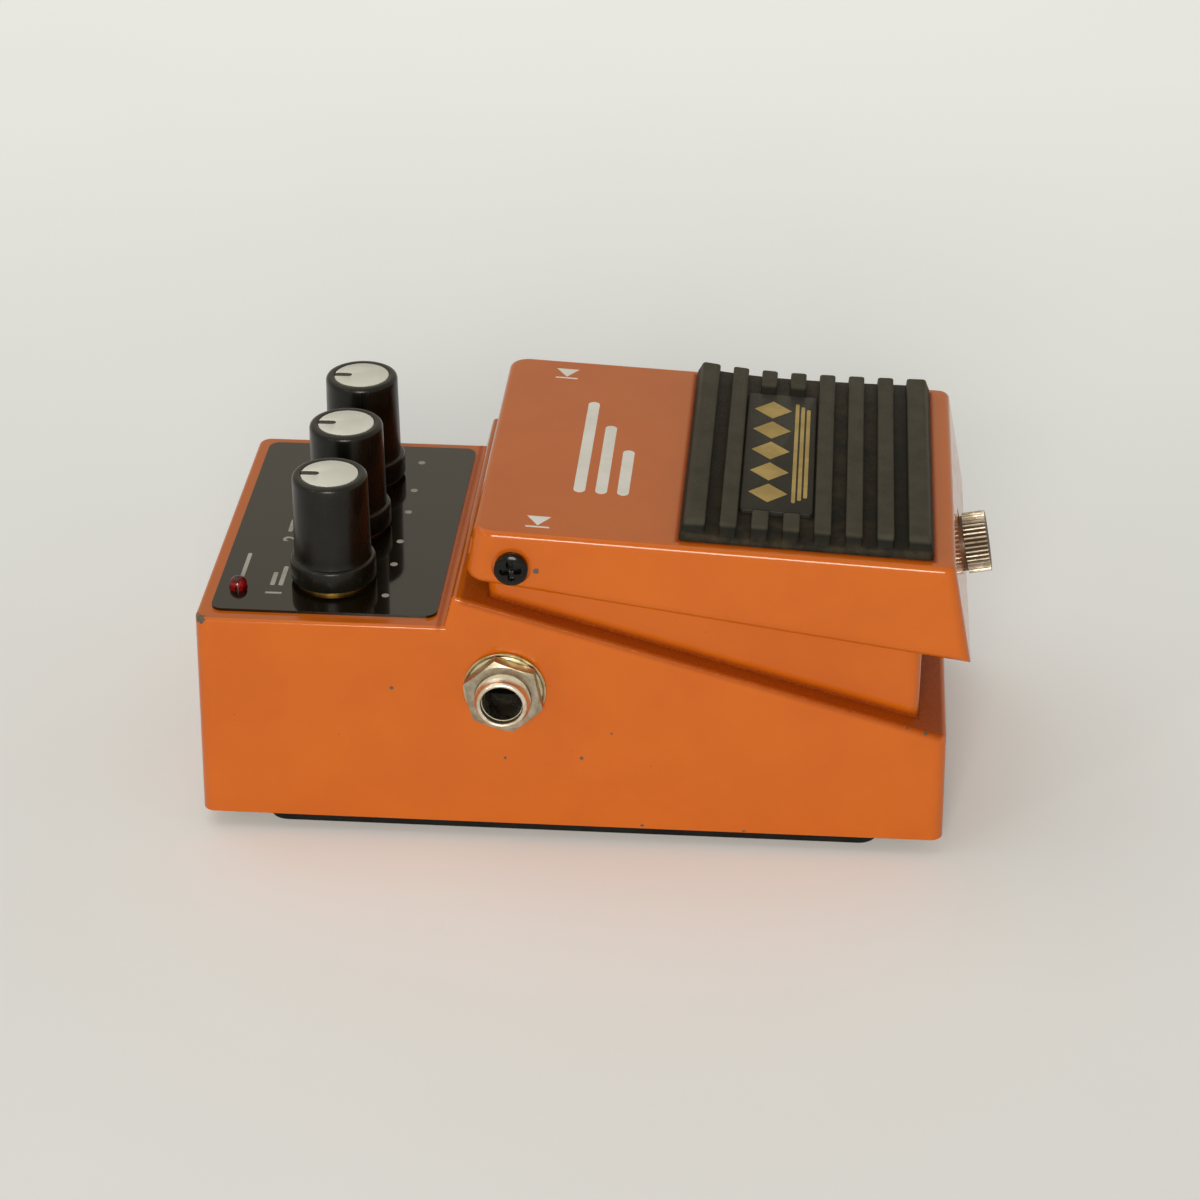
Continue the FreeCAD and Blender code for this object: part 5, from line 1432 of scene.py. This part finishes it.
@dataclass(frozen=True)
class Jack:
    """A quarter-inch jack: its body, threaded bushing, dished washer and hexagonal nut."""

    radius: float = 4.75
    reach: float = 8.1
    mouth: float = 3.52
    thread_depth: float = 0.36
    thread_from: float = 2.4
    thread_spare: float = 0.75
    pitch: float = 0.79
    neck: float = 0.3
    neck_z: Pair = (-0.5, 2.2)
    tip: Pairs = ((0.0, -0.72), (-0.02, -0.5), (-0.12, -0.24), (-0.3, -0.06), (-0.48, 0.0))
    lip: Pairs = ((0.34, 0.0), (0.16, -0.05), (0.04, -0.18), (0.0, -0.36), (0.0, -1.2), (-0.1, -1.3))
    bore_step: float = 0.1
    bore_depth: float = 19.9
    body_length: float = 22.0
    body_half: Pair = (7.75, 6.5)
    body_corner: float = 1.2
    body_edge: float = 0.3
    washer_at: float = 2.29
    washer_radius: float = 7.05
    washer_height: float = 0.8
    washer_play: float = 0.09
    washer_foot: float = 0.25
    washer_dish: Pairs = (
        (-0.9, 0.0), (-0.15, 0.0), (0.0, 0.12), (0.0, 0.42), (-0.1, 0.54), (-0.4, 0.56), (-0.6, 0.48), (-1.1, 0.66),
    )
    washer_hole: Pairs = ((0.2, -0.02), (0.0, -0.06))
    nut_sides: int = 6
    nut_half: float = 6.05
    nut_height: float = 2.3
    nut_turn: float = math.radians(42)
    nut_play: float = 0.08
    nut_edge: float = 0.12
    nut_flat: float = 0.99
    nut_bevel: float = 0.45

    def bushing_profile(self) -> list[Pair]:
        """The bushing's profile, up its thread, over its mouth and down its bore.

        Returns:
            Its (radius, height) points, ending where they start.
        """
        root, neck = self.radius - self.thread_depth, self.radius - self.thread_depth - self.neck
        inside, (foot, neck_top) = self.mouth - self.bore_step, self.neck_z
        thread: list[Pair] = []
        for turn in range(int((self.reach - self.thread_spare - self.thread_from) / self.pitch)):
            z = self.thread_from + turn * self.pitch
            thread += [(root, z), (self.radius, z + self.pitch * 0.5)]
        return [
            (neck, foot), (neck, neck_top), *thread, *shifted(root, self.reach, self.tip),
            *shifted(self.mouth, self.reach, self.lip), (inside, foot), (neck, foot),
        ]

    def washer_profile(self) -> list[Pair]:
        """The washer's profile, dished between its rim and the nut.

        Returns:
            Its (radius, height) points, ending where they start.
        """
        low, high, hole = self.washer_at, self.washer_at + self.washer_height, self.radius + self.washer_play
        foot = (hole, low + self.washer_foot)
        return [foot, *shifted(self.washer_radius, low, self.washer_dish), *shifted(hole, high, self.washer_hole), foot]

    def nut(self, steps: int = 12) -> list[Ring]:
        """The nut's rings, with the arcs that its turned bevel leaves on its flats.

        Args:
            steps: segments along each flat.
        Returns:
            The rings, from the hole's foot round the outside to the hole's top.
        """
        foot, top, hole = self.washer_at + self.washer_height, self.nut_height, self.radius + self.nut_play
        flat = self.nut_half * self.nut_flat
        side, columns = math.tau / self.nut_sides, []
        for angle in angles(self.nut_sides * steps):
            reach = self.nut_half / math.cos(angle % side - side / 2)
            bevel = max(0.0, reach - flat) * self.nut_bevel
            sizes = (
                (hole, 0.0), (reach - self.nut_edge, 0.0), (reach, self.nut_edge), (reach, top - bevel),
                (min(flat, reach), top), (hole, top),
            )
            columns.append([turned(radius, angle + self.nut_turn, foot + z) for radius, z in sizes])
        return [list(ring) for ring in zip(*columns)]

    def housing(self) -> list[Ring]:
        """The housing, as a box with a bore down from its front.

        Returns:
            The rings, from the back round the box and down the bore.
        """
        (x, y), back, edge = self.body_half, -self.body_length, self.body_edge
        box = levels(x, y, self.body_corner, ((back, edge), (back + edge, 0.0), (-edge, 0.0), (0.0, edge)))
        outline = [section.ring(steps=6) for section in box]
        inside = self.mouth - self.bore_step
        return outline + [round_like(outline[0], inside, z) for z in (0.0, -self.bore_depth)]

    def build(self, name: str, hand: int) -> None:
        """Make one jack.

        Args:
            name: input or output.
            hand: the side it is on, -1 for the left.
        """
        seat, node = seat_at((hand * WALL_X, JACK_Y, JACK_Z), along((hand, 0, 0))), name + "_jack"
        bushing = Shape(seat).lathe(self.bushing_profile(), steps=96)
        bushing.finish(name + "_bushing", Body.CASE, JACK_NICKEL, [node])
        Shape(seat).loft(self.housing()).finish(name + "_housing", Body.CASE, SOCKET, [node])
        washer = Shape(seat).lathe(self.washer_profile(), steps=96)
        washer.finish(name + "_dished_washer", Body.CASE, WASHER_NICKEL, [node + "_washer"])
        nut = Shape(seat).loft(self.nut(), closed=True)
        nut.finish(name + "_hex_nut", Body.CASE, NICKEL, [node + "_nut"], sharp=20)


@dataclass(frozen=True)
class PivotScrew:
    """A round-head screw with a cross recess, on which the treadle hangs."""

    head: float = 2.8
    rim: float = 1.4
    height: float = 1.9
    bulge: float = 3.0
    edge: float = 0.1
    rim_drop: float = 0.05
    shank: float = 1.5
    shank_edge: float = 0.3
    cross_turn: float = 0.12
    wing_start: float = -0.1
    wing: float = 1.85
    wing_half: float = 0.46
    wing_wall: Pair = (0.06, 0.14)
    wing_end: float = 0.3
    depth: float = 1.3
    depth_slope: float = 0.35

    def top(self, radius: float, angle: float) -> float:
        """The head's height at a place.

        Args:
            radius, angle: the place.
        Returns:
            The height over the head's seat.
        """
        crown = self.rim + (self.height - self.rim) * (1 - (radius / self.head) ** self.bulge)
        (spare, wall), sunk = self.wing_wall, 0.0
        for quarter in range(4):
            at = turned(radius, angle - math.pi / 2 * quarter - self.cross_turn)
            if at.x > self.wing_start:
                side = clamp((self.wing_half + spare - abs(at.y)) / wall)
                end = clamp((self.wing - at.x) / self.wing_end)
                sunk = max(sunk, side * end * (self.depth - self.depth_slope * at.x))
        return crown - sunk

    def ring(self, radius: float, height: Callable[[float], float], steps: int = 96) -> Ring:
        """One ring, at a height that may change round it."""
        return [turned(radius, angle, height(angle)) for angle in angles(steps)]

    def build(self, name: str, hand: int, steps: int = 32) -> None:
        """Make one screw.

        Args:
            name: its node.
            hand: the side it is on, -1 for the left.
            steps: rings across the head's top.
        """
        (low, high), at = box_of(name), middle(name)
        inner, outer = (low.x, high.x) if hand > 0 else (-high.x, -low.x)
        length = outer - self.height - inner
        under = (
            (self.shank - self.shank_edge, -length), (self.shank, -length + self.shank_edge), (self.shank, 0.0),
            (self.head - self.edge, 0.0), (self.head, self.edge), (self.head, self.rim - self.rim_drop),
        )
        rings = [self.ring(radius, lambda _, z=z: z) for radius, z in under]
        for step in range(1, steps):
            radius = self.head * (1 - step / steps)
            rings.append(self.ring(radius, lambda angle, r=radius: self.top(r, angle)))
        seat = seat_at((hand * (outer - self.height), at.y, at.z), along((hand, 0, 0)))
        Shape(seat).loft(rings).finish(name + "_cross", Body.CASE, BLACK_STEEL, [name], sharp=45)


@dataclass(frozen=True)
class Thumbscrew:
    """The knurled screw that locks the treadle."""

    radius: float = 5.3
    teeth: int = 40
    notch: tuple[float, ...] = (0.0, 0.12, 0.8, 1.0, 0.8, 0.12)
    depth: float = 0.55
    foot: float = 0.5
    top: float = 4.5
    foot_steps: Pairs = ((0.02, -0.06), (0.08, 0.0))
    foot_face: float = 0.6
    top_steps: Pairs = ((-0.12, 0.0), (-0.02, -0.08))
    face_steps: Pairs = ((0.0, -0.62), (-0.06, -1.2), (-0.3, -1.7), (-0.32, -4.7))
    shank: float = 2.0
    shank_play: float = 0.02
    shank_edge: float = 0.5
    shank_length: float = 19.5
    thread_from: float = 0.9
    thread_to: float = 12.0
    thread_root: float = 0.24
    thread_pitch: float = 0.7
    thread_end: float = 0.1

    def ring(self, z: float, radius: float, depth: float = 0.0) -> Ring:
        """One level of the screw.

        Args:
            z: its height.
            radius: at the teeth's tips.
            depth: of the teeth.
        Returns:
            The ring's points.
        """
        count = self.teeth * len(self.notch)
        return [
            turned(radius - depth * self.notch[k % len(self.notch)], angle, z) for k, angle in enumerate(angles(count))
        ]

    def build(self) -> None:
        """Make the screw: its shank, its thread, the knurl and the dished face."""
        end, crest, root = -self.shank_length, self.shank - self.shank_play, self.shank - self.thread_root
        rows = [self.ring(end, self.shank - self.shank_edge), self.ring(end + self.shank_edge, crest)]
        z = end + self.thread_from
        while z < end + self.thread_to:
            rows += [self.ring(z, root), self.ring(z + self.thread_pitch / 2, crest)]
            z += self.thread_pitch
        rows += [self.ring(z + self.thread_end, crest), self.ring(self.foot, crest)]
        rows.append(self.ring(self.foot, self.radius - self.foot_face))
        rows += [self.ring(self.foot + up, self.radius + aside, self.depth) for up, aside in self.foot_steps]
        rows += [self.ring(self.top + up, self.radius + aside, self.depth) for up, aside in self.top_steps]
        rows += [self.ring(self.top + up, self.radius + aside) for up, aside in self.face_steps]
        screw = Shape(seat_at(THUMB_AT, along(THUMB_WAY))).loft(rows)
        screw.finish("knurled_screw", Body.SCREW, KNURL, ["thumbscrew"], sharp=30)


@dataclass(frozen=True)
class Base:
    """The rubber sole under the base plate."""

    half_x: float = 32.4
    half_y: float = 53.0
    height: float = 3.0
    corner: float = 3.4
    lower_edge: Pairs = ((0.25, 1.3), (0.08, 0.8), (0.02, 0.28), (0.12, 0.08), (0.32, 0.0))
    upper_edge: Pairs = ((-0.2, 0.0), (-0.01, 0.15))
    nub: float = 1.1
    nub_steps: int = 8
    nub_levels: Pairs = ((0.3, 1.0), (0.08, 0.9), (0.0, 0.6))
    nub_pitch: Pair = (3.2, 3.1)
    nub_columns: int = 9
    nub_rows: int = 16
    nub_margin: float = 2.5

    def build(self) -> None:
        """Make the sole with a rolled lower edge and rows of shallow nubs."""
        rolled = [*self.lower_edge, *((self.height + z, inset) for z, inset in self.upper_edge)]
        sole = Shape().slab(*levels(self.half_x, self.half_y, self.corner, rolled), steps=8)
        across, lengthwise = self.nub_pitch
        for column in range(-self.nub_columns, self.nub_columns + 1):
            for row in range(-self.nub_rows, self.nub_rows + 1):
                centre = Vector(((column + 0.5 * (row % 2)) * across, row * lengthwise, 0))
                if abs(centre.x) > self.half_x - self.nub_margin:
                    continue
                sole.loft([
                    [centre + turned(self.nub * share, -angle, z) for angle in angles(self.nub_steps)]
                    for z, share in self.nub_levels
                ])
        sole.finish("rubber_sole", Body.CASE, SOLE, ["base_pad"])


@dataclass(frozen=True)
class Spring:
    """The treadle's return spring, with closed end turns."""

    at: Point = (-15.0, -14.0, 34.0)
    coil: float = 4.6
    wire: float = 0.6
    height: float = 18.4
    turns: int = 8
    closing: float = 0.55
    keep: float = 0.933

    def build(self, steps: int = 28, sides: int = 10) -> None:
        """Make the coil, on a mesh of its own.

        Args:
            steps: segments in each turn.
            sides: segments round the wire.
        """
        rings = []
        for k in range(steps * self.turns + 1):
            share = k / (steps * self.turns)
            eased = share - math.sin(math.tau * share) / math.tau * self.closing
            z = self.wire + eased * (self.height - 2 * self.wire)
            rings.append([
                turned(self.coil + self.wire * math.cos(b), math.tau * self.turns * share, z + self.wire * math.sin(b))
                for b in angles(sides)
            ])
        piece = Shape(seat_at(self.at)).loft(rings).finish("coil_spring", Body.CASE, SPRING, ["return_spring"])
        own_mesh(piece)


@dataclass(frozen=True)
class Innards:
    """The soft pieces inside: pusher, grommet, foam, snap and battery leads."""

    pusher_foot: Pairs = ((0.0, 0.0), (0.55, 0.0), (0.72, 0.12), (0.8, 0.4))
    pusher_top: Pairs = ((0.86, 0.6), (1.0, 0.72), (1.0, 1.0), (0.0, 1.0))
    grommet_bore: float = 2.1
    grommet_lip: float = 0.6
    grommet_neck: float = 0.9
    grommet_edge: Pairs = ((-0.2, 0.0), (0.0, 0.2))
    grommet_round: float = 0.1
    grommet_mouth: Pair = (0.2, 0.15)
    snap_corner: float = 2.0
    snap_foot: Pairs = ((0.0, 0.15), (0.2, 0.0))
    snap_top: Pairs = ((-0.6, 0.0), (-0.2, 0.15), (0.0, 0.6))
    foam_corner: float = 1.0
    foam_foot: Pairs = ((0.0, 0.08), (0.1, 0.0))
    foam_top: Pairs = ((-0.12, 0.0), (0.0, 0.12))
    foam_sag: float = 0.02
    foam_beat: float = 12.9898
    lead_diameter: float = 1.4
    red_route: tuple[Point, ...] = (
        (22.0, -28.0, 26.3), (22.0, -15.96, 26.3), (19.26, -2.0, 20.49), (18.29, 10.9, 18.97),
        (17.28, 21.1, 19.52), (16.84, 28.8, 22.55), (16.84, 28.8, 28.5),
    )
    black_route: tuple[Point, ...] = (
        (22.0, -28.0, 28.7), (22.0, -15.96, 28.7), (21.66, -2.0, 20.49), (20.69, 10.9, 18.97),
        (19.68, 21.1, 19.52), (19.24, 28.8, 22.55), (19.24, 28.8, 28.5),
    )
    red_length: float = 0.0633
    black_length: float = 0.0639

    def pusher(self) -> None:
        """Make the rubber pusher that the treadle holds over the switch."""
        low, high = box_of("switch_pusher")
        at, height, radius = (low + high) / 2, high.z - low.z, (high.x - low.x) / 2
        profile = [(radius * share, z) for share, z in self.pusher_foot]
        profile += [(radius * share, height * up) for share, up in self.pusher_top]
        pusher = Shape(seat_at((at.x, at.y, low.z))).lathe(profile, steps=40)
        pusher.finish("rubber_pusher", Body.TREADLE, SMALL_RUBBER, ["switch_pusher"])

    def grommet(self) -> None:
        """Make the grommet that leads the battery's wires through the bay's wall."""
        low, high = box_of("lead_grommet")
        at, length, radius = (low + high) / 2, high.y - low.y, (high.x - low.x) / 2
        lip, neck, (wide, deep) = self.grommet_lip, radius - self.grommet_neck, self.grommet_mouth
        mouth = [(self.grommet_bore, deep), (self.grommet_bore + wide, 0.0), *shifted(radius, 0.0, self.grommet_edge)]
        flange = [*mouth, (radius, lip - self.grommet_round), (radius - self.grommet_round, lip), (neck, lip)]
        mirrored = [(across, length - z) for across, z in reversed(flange)]
        seat = seat_at((at.x, low.y, at.z), along((0, 1, 0)))
        grommet = Shape(seat).lathe([*flange, *mirrored, flange[0]], steps=48)
        grommet.finish("rubber_grommet", Body.CASE, SMALL_RUBBER, ["lead_grommet"])

    def snap(self) -> None:
        """Make the battery snap's vinyl cover."""
        low, high = box_of("battery_snap")
        at, (thick, wide, tall) = (low + high) / 2, (high - low) / 2
        rows = [*shifted(-thick, 0.0, self.snap_foot), *shifted(thick, 0.0, self.snap_top)]
        snap = Shape(seat_at(at, along((1, 0, 0)))).slab(*levels(wide, tall, self.snap_corner, rows), steps=6)
        snap.finish("snap_cover", Body.CASE, VINYL, ["battery_snap"])

    def foam(self) -> None:
        """Make the foam strip under the battery, slightly uneven."""
        low, high = box_of("battery_foam")
        half_x, half_y, half_z = (high - low) / 2
        rows = [*shifted(-half_z, 0.0, self.foam_foot), *shifted(half_z, 0.0, self.foam_top)]
        foam = Shape(seat_at((low + high) / 2)).slab(*levels(half_x, half_y, self.foam_corner, rows), steps=3)
        flat = [face for face in foam.mesh.faces if len(face.verts) > 4]
        bmesh.ops.triangulate(foam.mesh, faces=flat)
        bmesh.ops.subdivide_edges(foam.mesh, edges=foam.mesh.edges, cuts=2, use_grid_fill=True)
        for k, vert in enumerate(foam.mesh.verts):
            inward = -1 if vert.co.z > 0 else 1
            vert.co.z += inward * self.foam_sag * (1 + math.sin(k * self.foam_beat))
        foam.finish("foam_strip", Body.CASE, FOAM, ["battery_foam"])

    def lead(self, name: str, route: Sequence[Point], finish: Finish) -> None:
        """Lay one battery lead.

        Args:
            name: the piece's name.
            route: its control points in millimetres.
            finish: what it looks like.
        """
        curve = bpy.data.curves.new(name, "CURVE")
        curve.dimensions = "3D"
        curve.bevel_depth = self.lead_diameter / 2 * MM
        curve.bevel_resolution = 4
        curve.resolution_u = 16
        curve.use_fill_caps = True
        spline = curve.splines.new("NURBS")
        spline.points.add(len(route) - 1)
        for point, place in zip(spline.points, route):
            point.co = (*[c * MM for c in place], 1)
        spline.order_u = 3
        spline.use_endpoint_u = True
        piece = hand_over(name, curve, Body.CASE, finish, ["battery_leads"])

    def build(self) -> None:
        """Make all of them."""
        self.pusher()
        self.grommet()
        self.snap()
        self.foam()
        self.lead("lead_red", self.red_route, LEAD_RED)
        self.lead("lead_black", self.black_route, LEAD_BLACK)


@dataclass(frozen=True)
class Paper(Finish):
    """The floor's paper, which the camera and mirrors see paler towards the back."""

    glow: Colour = tone(250, 248, 240)
    glow_span: tuple[float, ...] = (-160.0, 520.0, 0.06, 0.36)

    def dress(self, look: Look) -> None:
        """Build the paper.

        Args:
            look: the material being built.
        """
        super().dress(look)
        path = look.add("ShaderNodeLightPath")
        seen = look.larger(path.outputs[Ray.CAMERA.value], path.outputs[Ray.GLOSSY.value])
        strength = look.span(look.height(look.place, Axis.X), *self.glow_span)
        look.set(Emission_Color=self.glow, Emission_Strength=look.times(seen, strength))


PAPER = Paper(
    "floor", tone(237, 240, 240), tone(234, 237, 237), (0.6, 0.75), mottle=0.004, grain=0.6, depth=0.01, gloss=0.2
)


@dataclass(frozen=True)
class Sky:
    """The world's light as one kind of ray meets it."""

    colour: Colour
    strength: float
    ray: Optional[Ray] = None


@dataclass(frozen=True)
class Lamp:
    """A square soft light: its place and side in metres, its power in watts and its colour."""

    name: str
    place: Point
    side: float
    power: float
    colour: Colour


@dataclass(frozen=True)
class Studio:
    """The floor, the lights and the camera."""

    camera_at: Point = (-502.08, -40.64, 309.68)
    yaw: float = math.radians(4.335)
    pitch: float = math.radians(29.214)
    focal_px: float = 3241.5
    sensor: float = 36.0
    clip: Pair = (0.01, 50.0)
    floor_half: float = 4.0
    aim: Point = (0.0, 0.0, 0.03)
    skies: tuple[Sky, ...] = (
        Sky(tone(240, 238, 232), 0.34),
        Sky(tone(236, 228, 208), 0.86, Ray.GLOSSY),
        Sky(tone(222, 221, 213), 0.86, Ray.CAMERA),
    )
    lamps: tuple[Lamp, ...] = (
        Lamp("key", (-1.4, 0.0, 0.58), 0.5, 13.6, tone(255, 249, 238)),
        Lamp("glint", (-1.0, 0.95, 0.62), 0.12, 0.9, tone(255, 249, 238)),
        Lamp("fill", (0.2, 0.6, 1.6), 1.6, 6.0, tone(255, 252, 246)),
    )

    def facing(self, place: Sequence[float], way: Vector) -> Matrix:
        """The matrix of a camera or light at a place in metres that looks along a way."""
        return Matrix.Translation(place) @ way.to_track_quat("-Z", "Y").to_matrix().to_4x4()

    def camera(self) -> None:
        """Set the camera where the photograph was taken."""
        data = bpy.data.cameras.new("camera")
        data.sensor_fit, data.sensor_width = "HORIZONTAL", self.sensor
        data.lens = self.focal_px / PHOTO_SIZE * self.sensor
        data.clip_start, data.clip_end = self.clip
        ahead = turned(math.cos(self.pitch), self.yaw, -math.sin(self.pitch))
        camera = bpy.data.objects.new("camera", data)
        camera.matrix_world = self.facing(Vector(self.camera_at) * MM, ahead)
        bpy.context.scene.collection.objects.link(camera)
        bpy.context.scene.camera = camera

    def light(self, lamp: Lamp) -> None:
        """Hang one soft light that faces the pedal.

        Args:
            lamp: the light.
        """
        data = bpy.data.lights.new(lamp.name, "AREA")
        data.shape, data.size, data.energy, data.color = "SQUARE", lamp.side, lamp.power, lamp.colour[:3]
        hung = bpy.data.objects.new(lamp.name, data)
        hung.matrix_world = self.facing(lamp.place, Vector(self.aim) - Vector(lamp.place))
        bpy.context.scene.collection.objects.link(hung)

    def floor(self) -> None:
        """Lay the pale floor."""
        mesh = bmesh.new()
        bmesh.ops.create_grid(mesh, x_segments=2, y_segments=2, size=self.floor_half)
        data = bpy.data.meshes.new("floor")
        mesh.to_mesh(data)
        mesh.free()
        floor = bpy.data.objects.new("floor", data)
        bpy.context.scene.collection.objects.link(floor)
        data.materials.append(PAPER.material())

    def world(self) -> None:
        """Surround the set with pale light, paler where it is seen or mirrored."""
        world = bpy.data.worlds.new("studio")
        bpy.context.scene.world = world
        world.use_nodes = True
        nodes, links = world.node_tree.nodes, world.node_tree.links
        nodes.clear()
        path, sink = nodes.new("ShaderNodeLightPath"), nodes.new("ShaderNodeOutputWorld")
        light: Optional[Socket] = None
        for sky in self.skies:
            shade = nodes.new("ShaderNodeBackground")
            shade.inputs["Color"].default_value = sky.colour
            shade.inputs["Strength"].default_value = sky.strength
            if light is None:
                light = shade.outputs[0]
                continue
            mixed = nodes.new("ShaderNodeMixShader")
            for socket, source in zip(mixed.inputs, (path.outputs[sky.ray.value], light, shade.outputs[0])):
                links.new(source, socket)
            light = mixed.outputs[0]
        links.new(light, sink.inputs["Surface"])

    def build(self) -> None:
        """Set everything up."""
        self.camera()
        self.floor()
        self.world()
        for lamp in self.lamps:
            self.light(lamp)
        bpy.context.scene.view_settings.view_transform = "Standard"
        log.info("studio ready")


def dress_nodes() -> None:
    """Give every CAD node that stays its finish."""
    dress(CASE_PAINT, "case")
    dress(TREADLE_PAINT, "treadle")
    dress(PANEL, "control_panel")
    dress(ZINC, "base_plate", "switch_board_screws", "board_screws")
    dress(BLACK_STEEL, "base_screws")
    dress(NYLON, "pivot_bush_left", "pivot_bush_right", "switch_plunger")
    # The washer lies wholly inside the knurl's bore radius, so it is painted the notches' dark shade all over
    dress(KNURL, "thumbscrew_washer")
    dress(BRASS, "latch_nut", *[name + part for name in CONTROLS for part in ("_pot_washer", "_pot_nut")])
    dress(CAN, *[name + part for name in CONTROLS for part in ("_pot", "_pot_shaft")])
    dress(BOARD, "main_board", "switch_board")
    dress(CHIP, "board_chips")
    dress(CAPACITOR, "board_capacitors")
    dress(SWITCH, "foot_switch", "dc_jack", "dc_jack_nut")
    dress(WRAP, "battery")


def main() -> None:
    """Dress the frame, build the pieces and set the studio."""
    logging.basicConfig(level=logging.INFO, format="%(message)s")
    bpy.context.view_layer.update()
    dress_nodes()
    Tread().build()
    TreadlePrint().build()
    for name in CONTROLS:
        Knob().build(name)
    Panel().build()
    for jack, screw, hand in (("output", "left", -1), ("input", "right", 1)):
        Jack().build(jack, hand)
        PivotScrew().build("pivot_screw_" + screw, hand)
    Thumbscrew().build()
    Base().build()
    Spring().build()
    Innards().build()
    Studio().build()


if __name__ == "__main__":
    main()
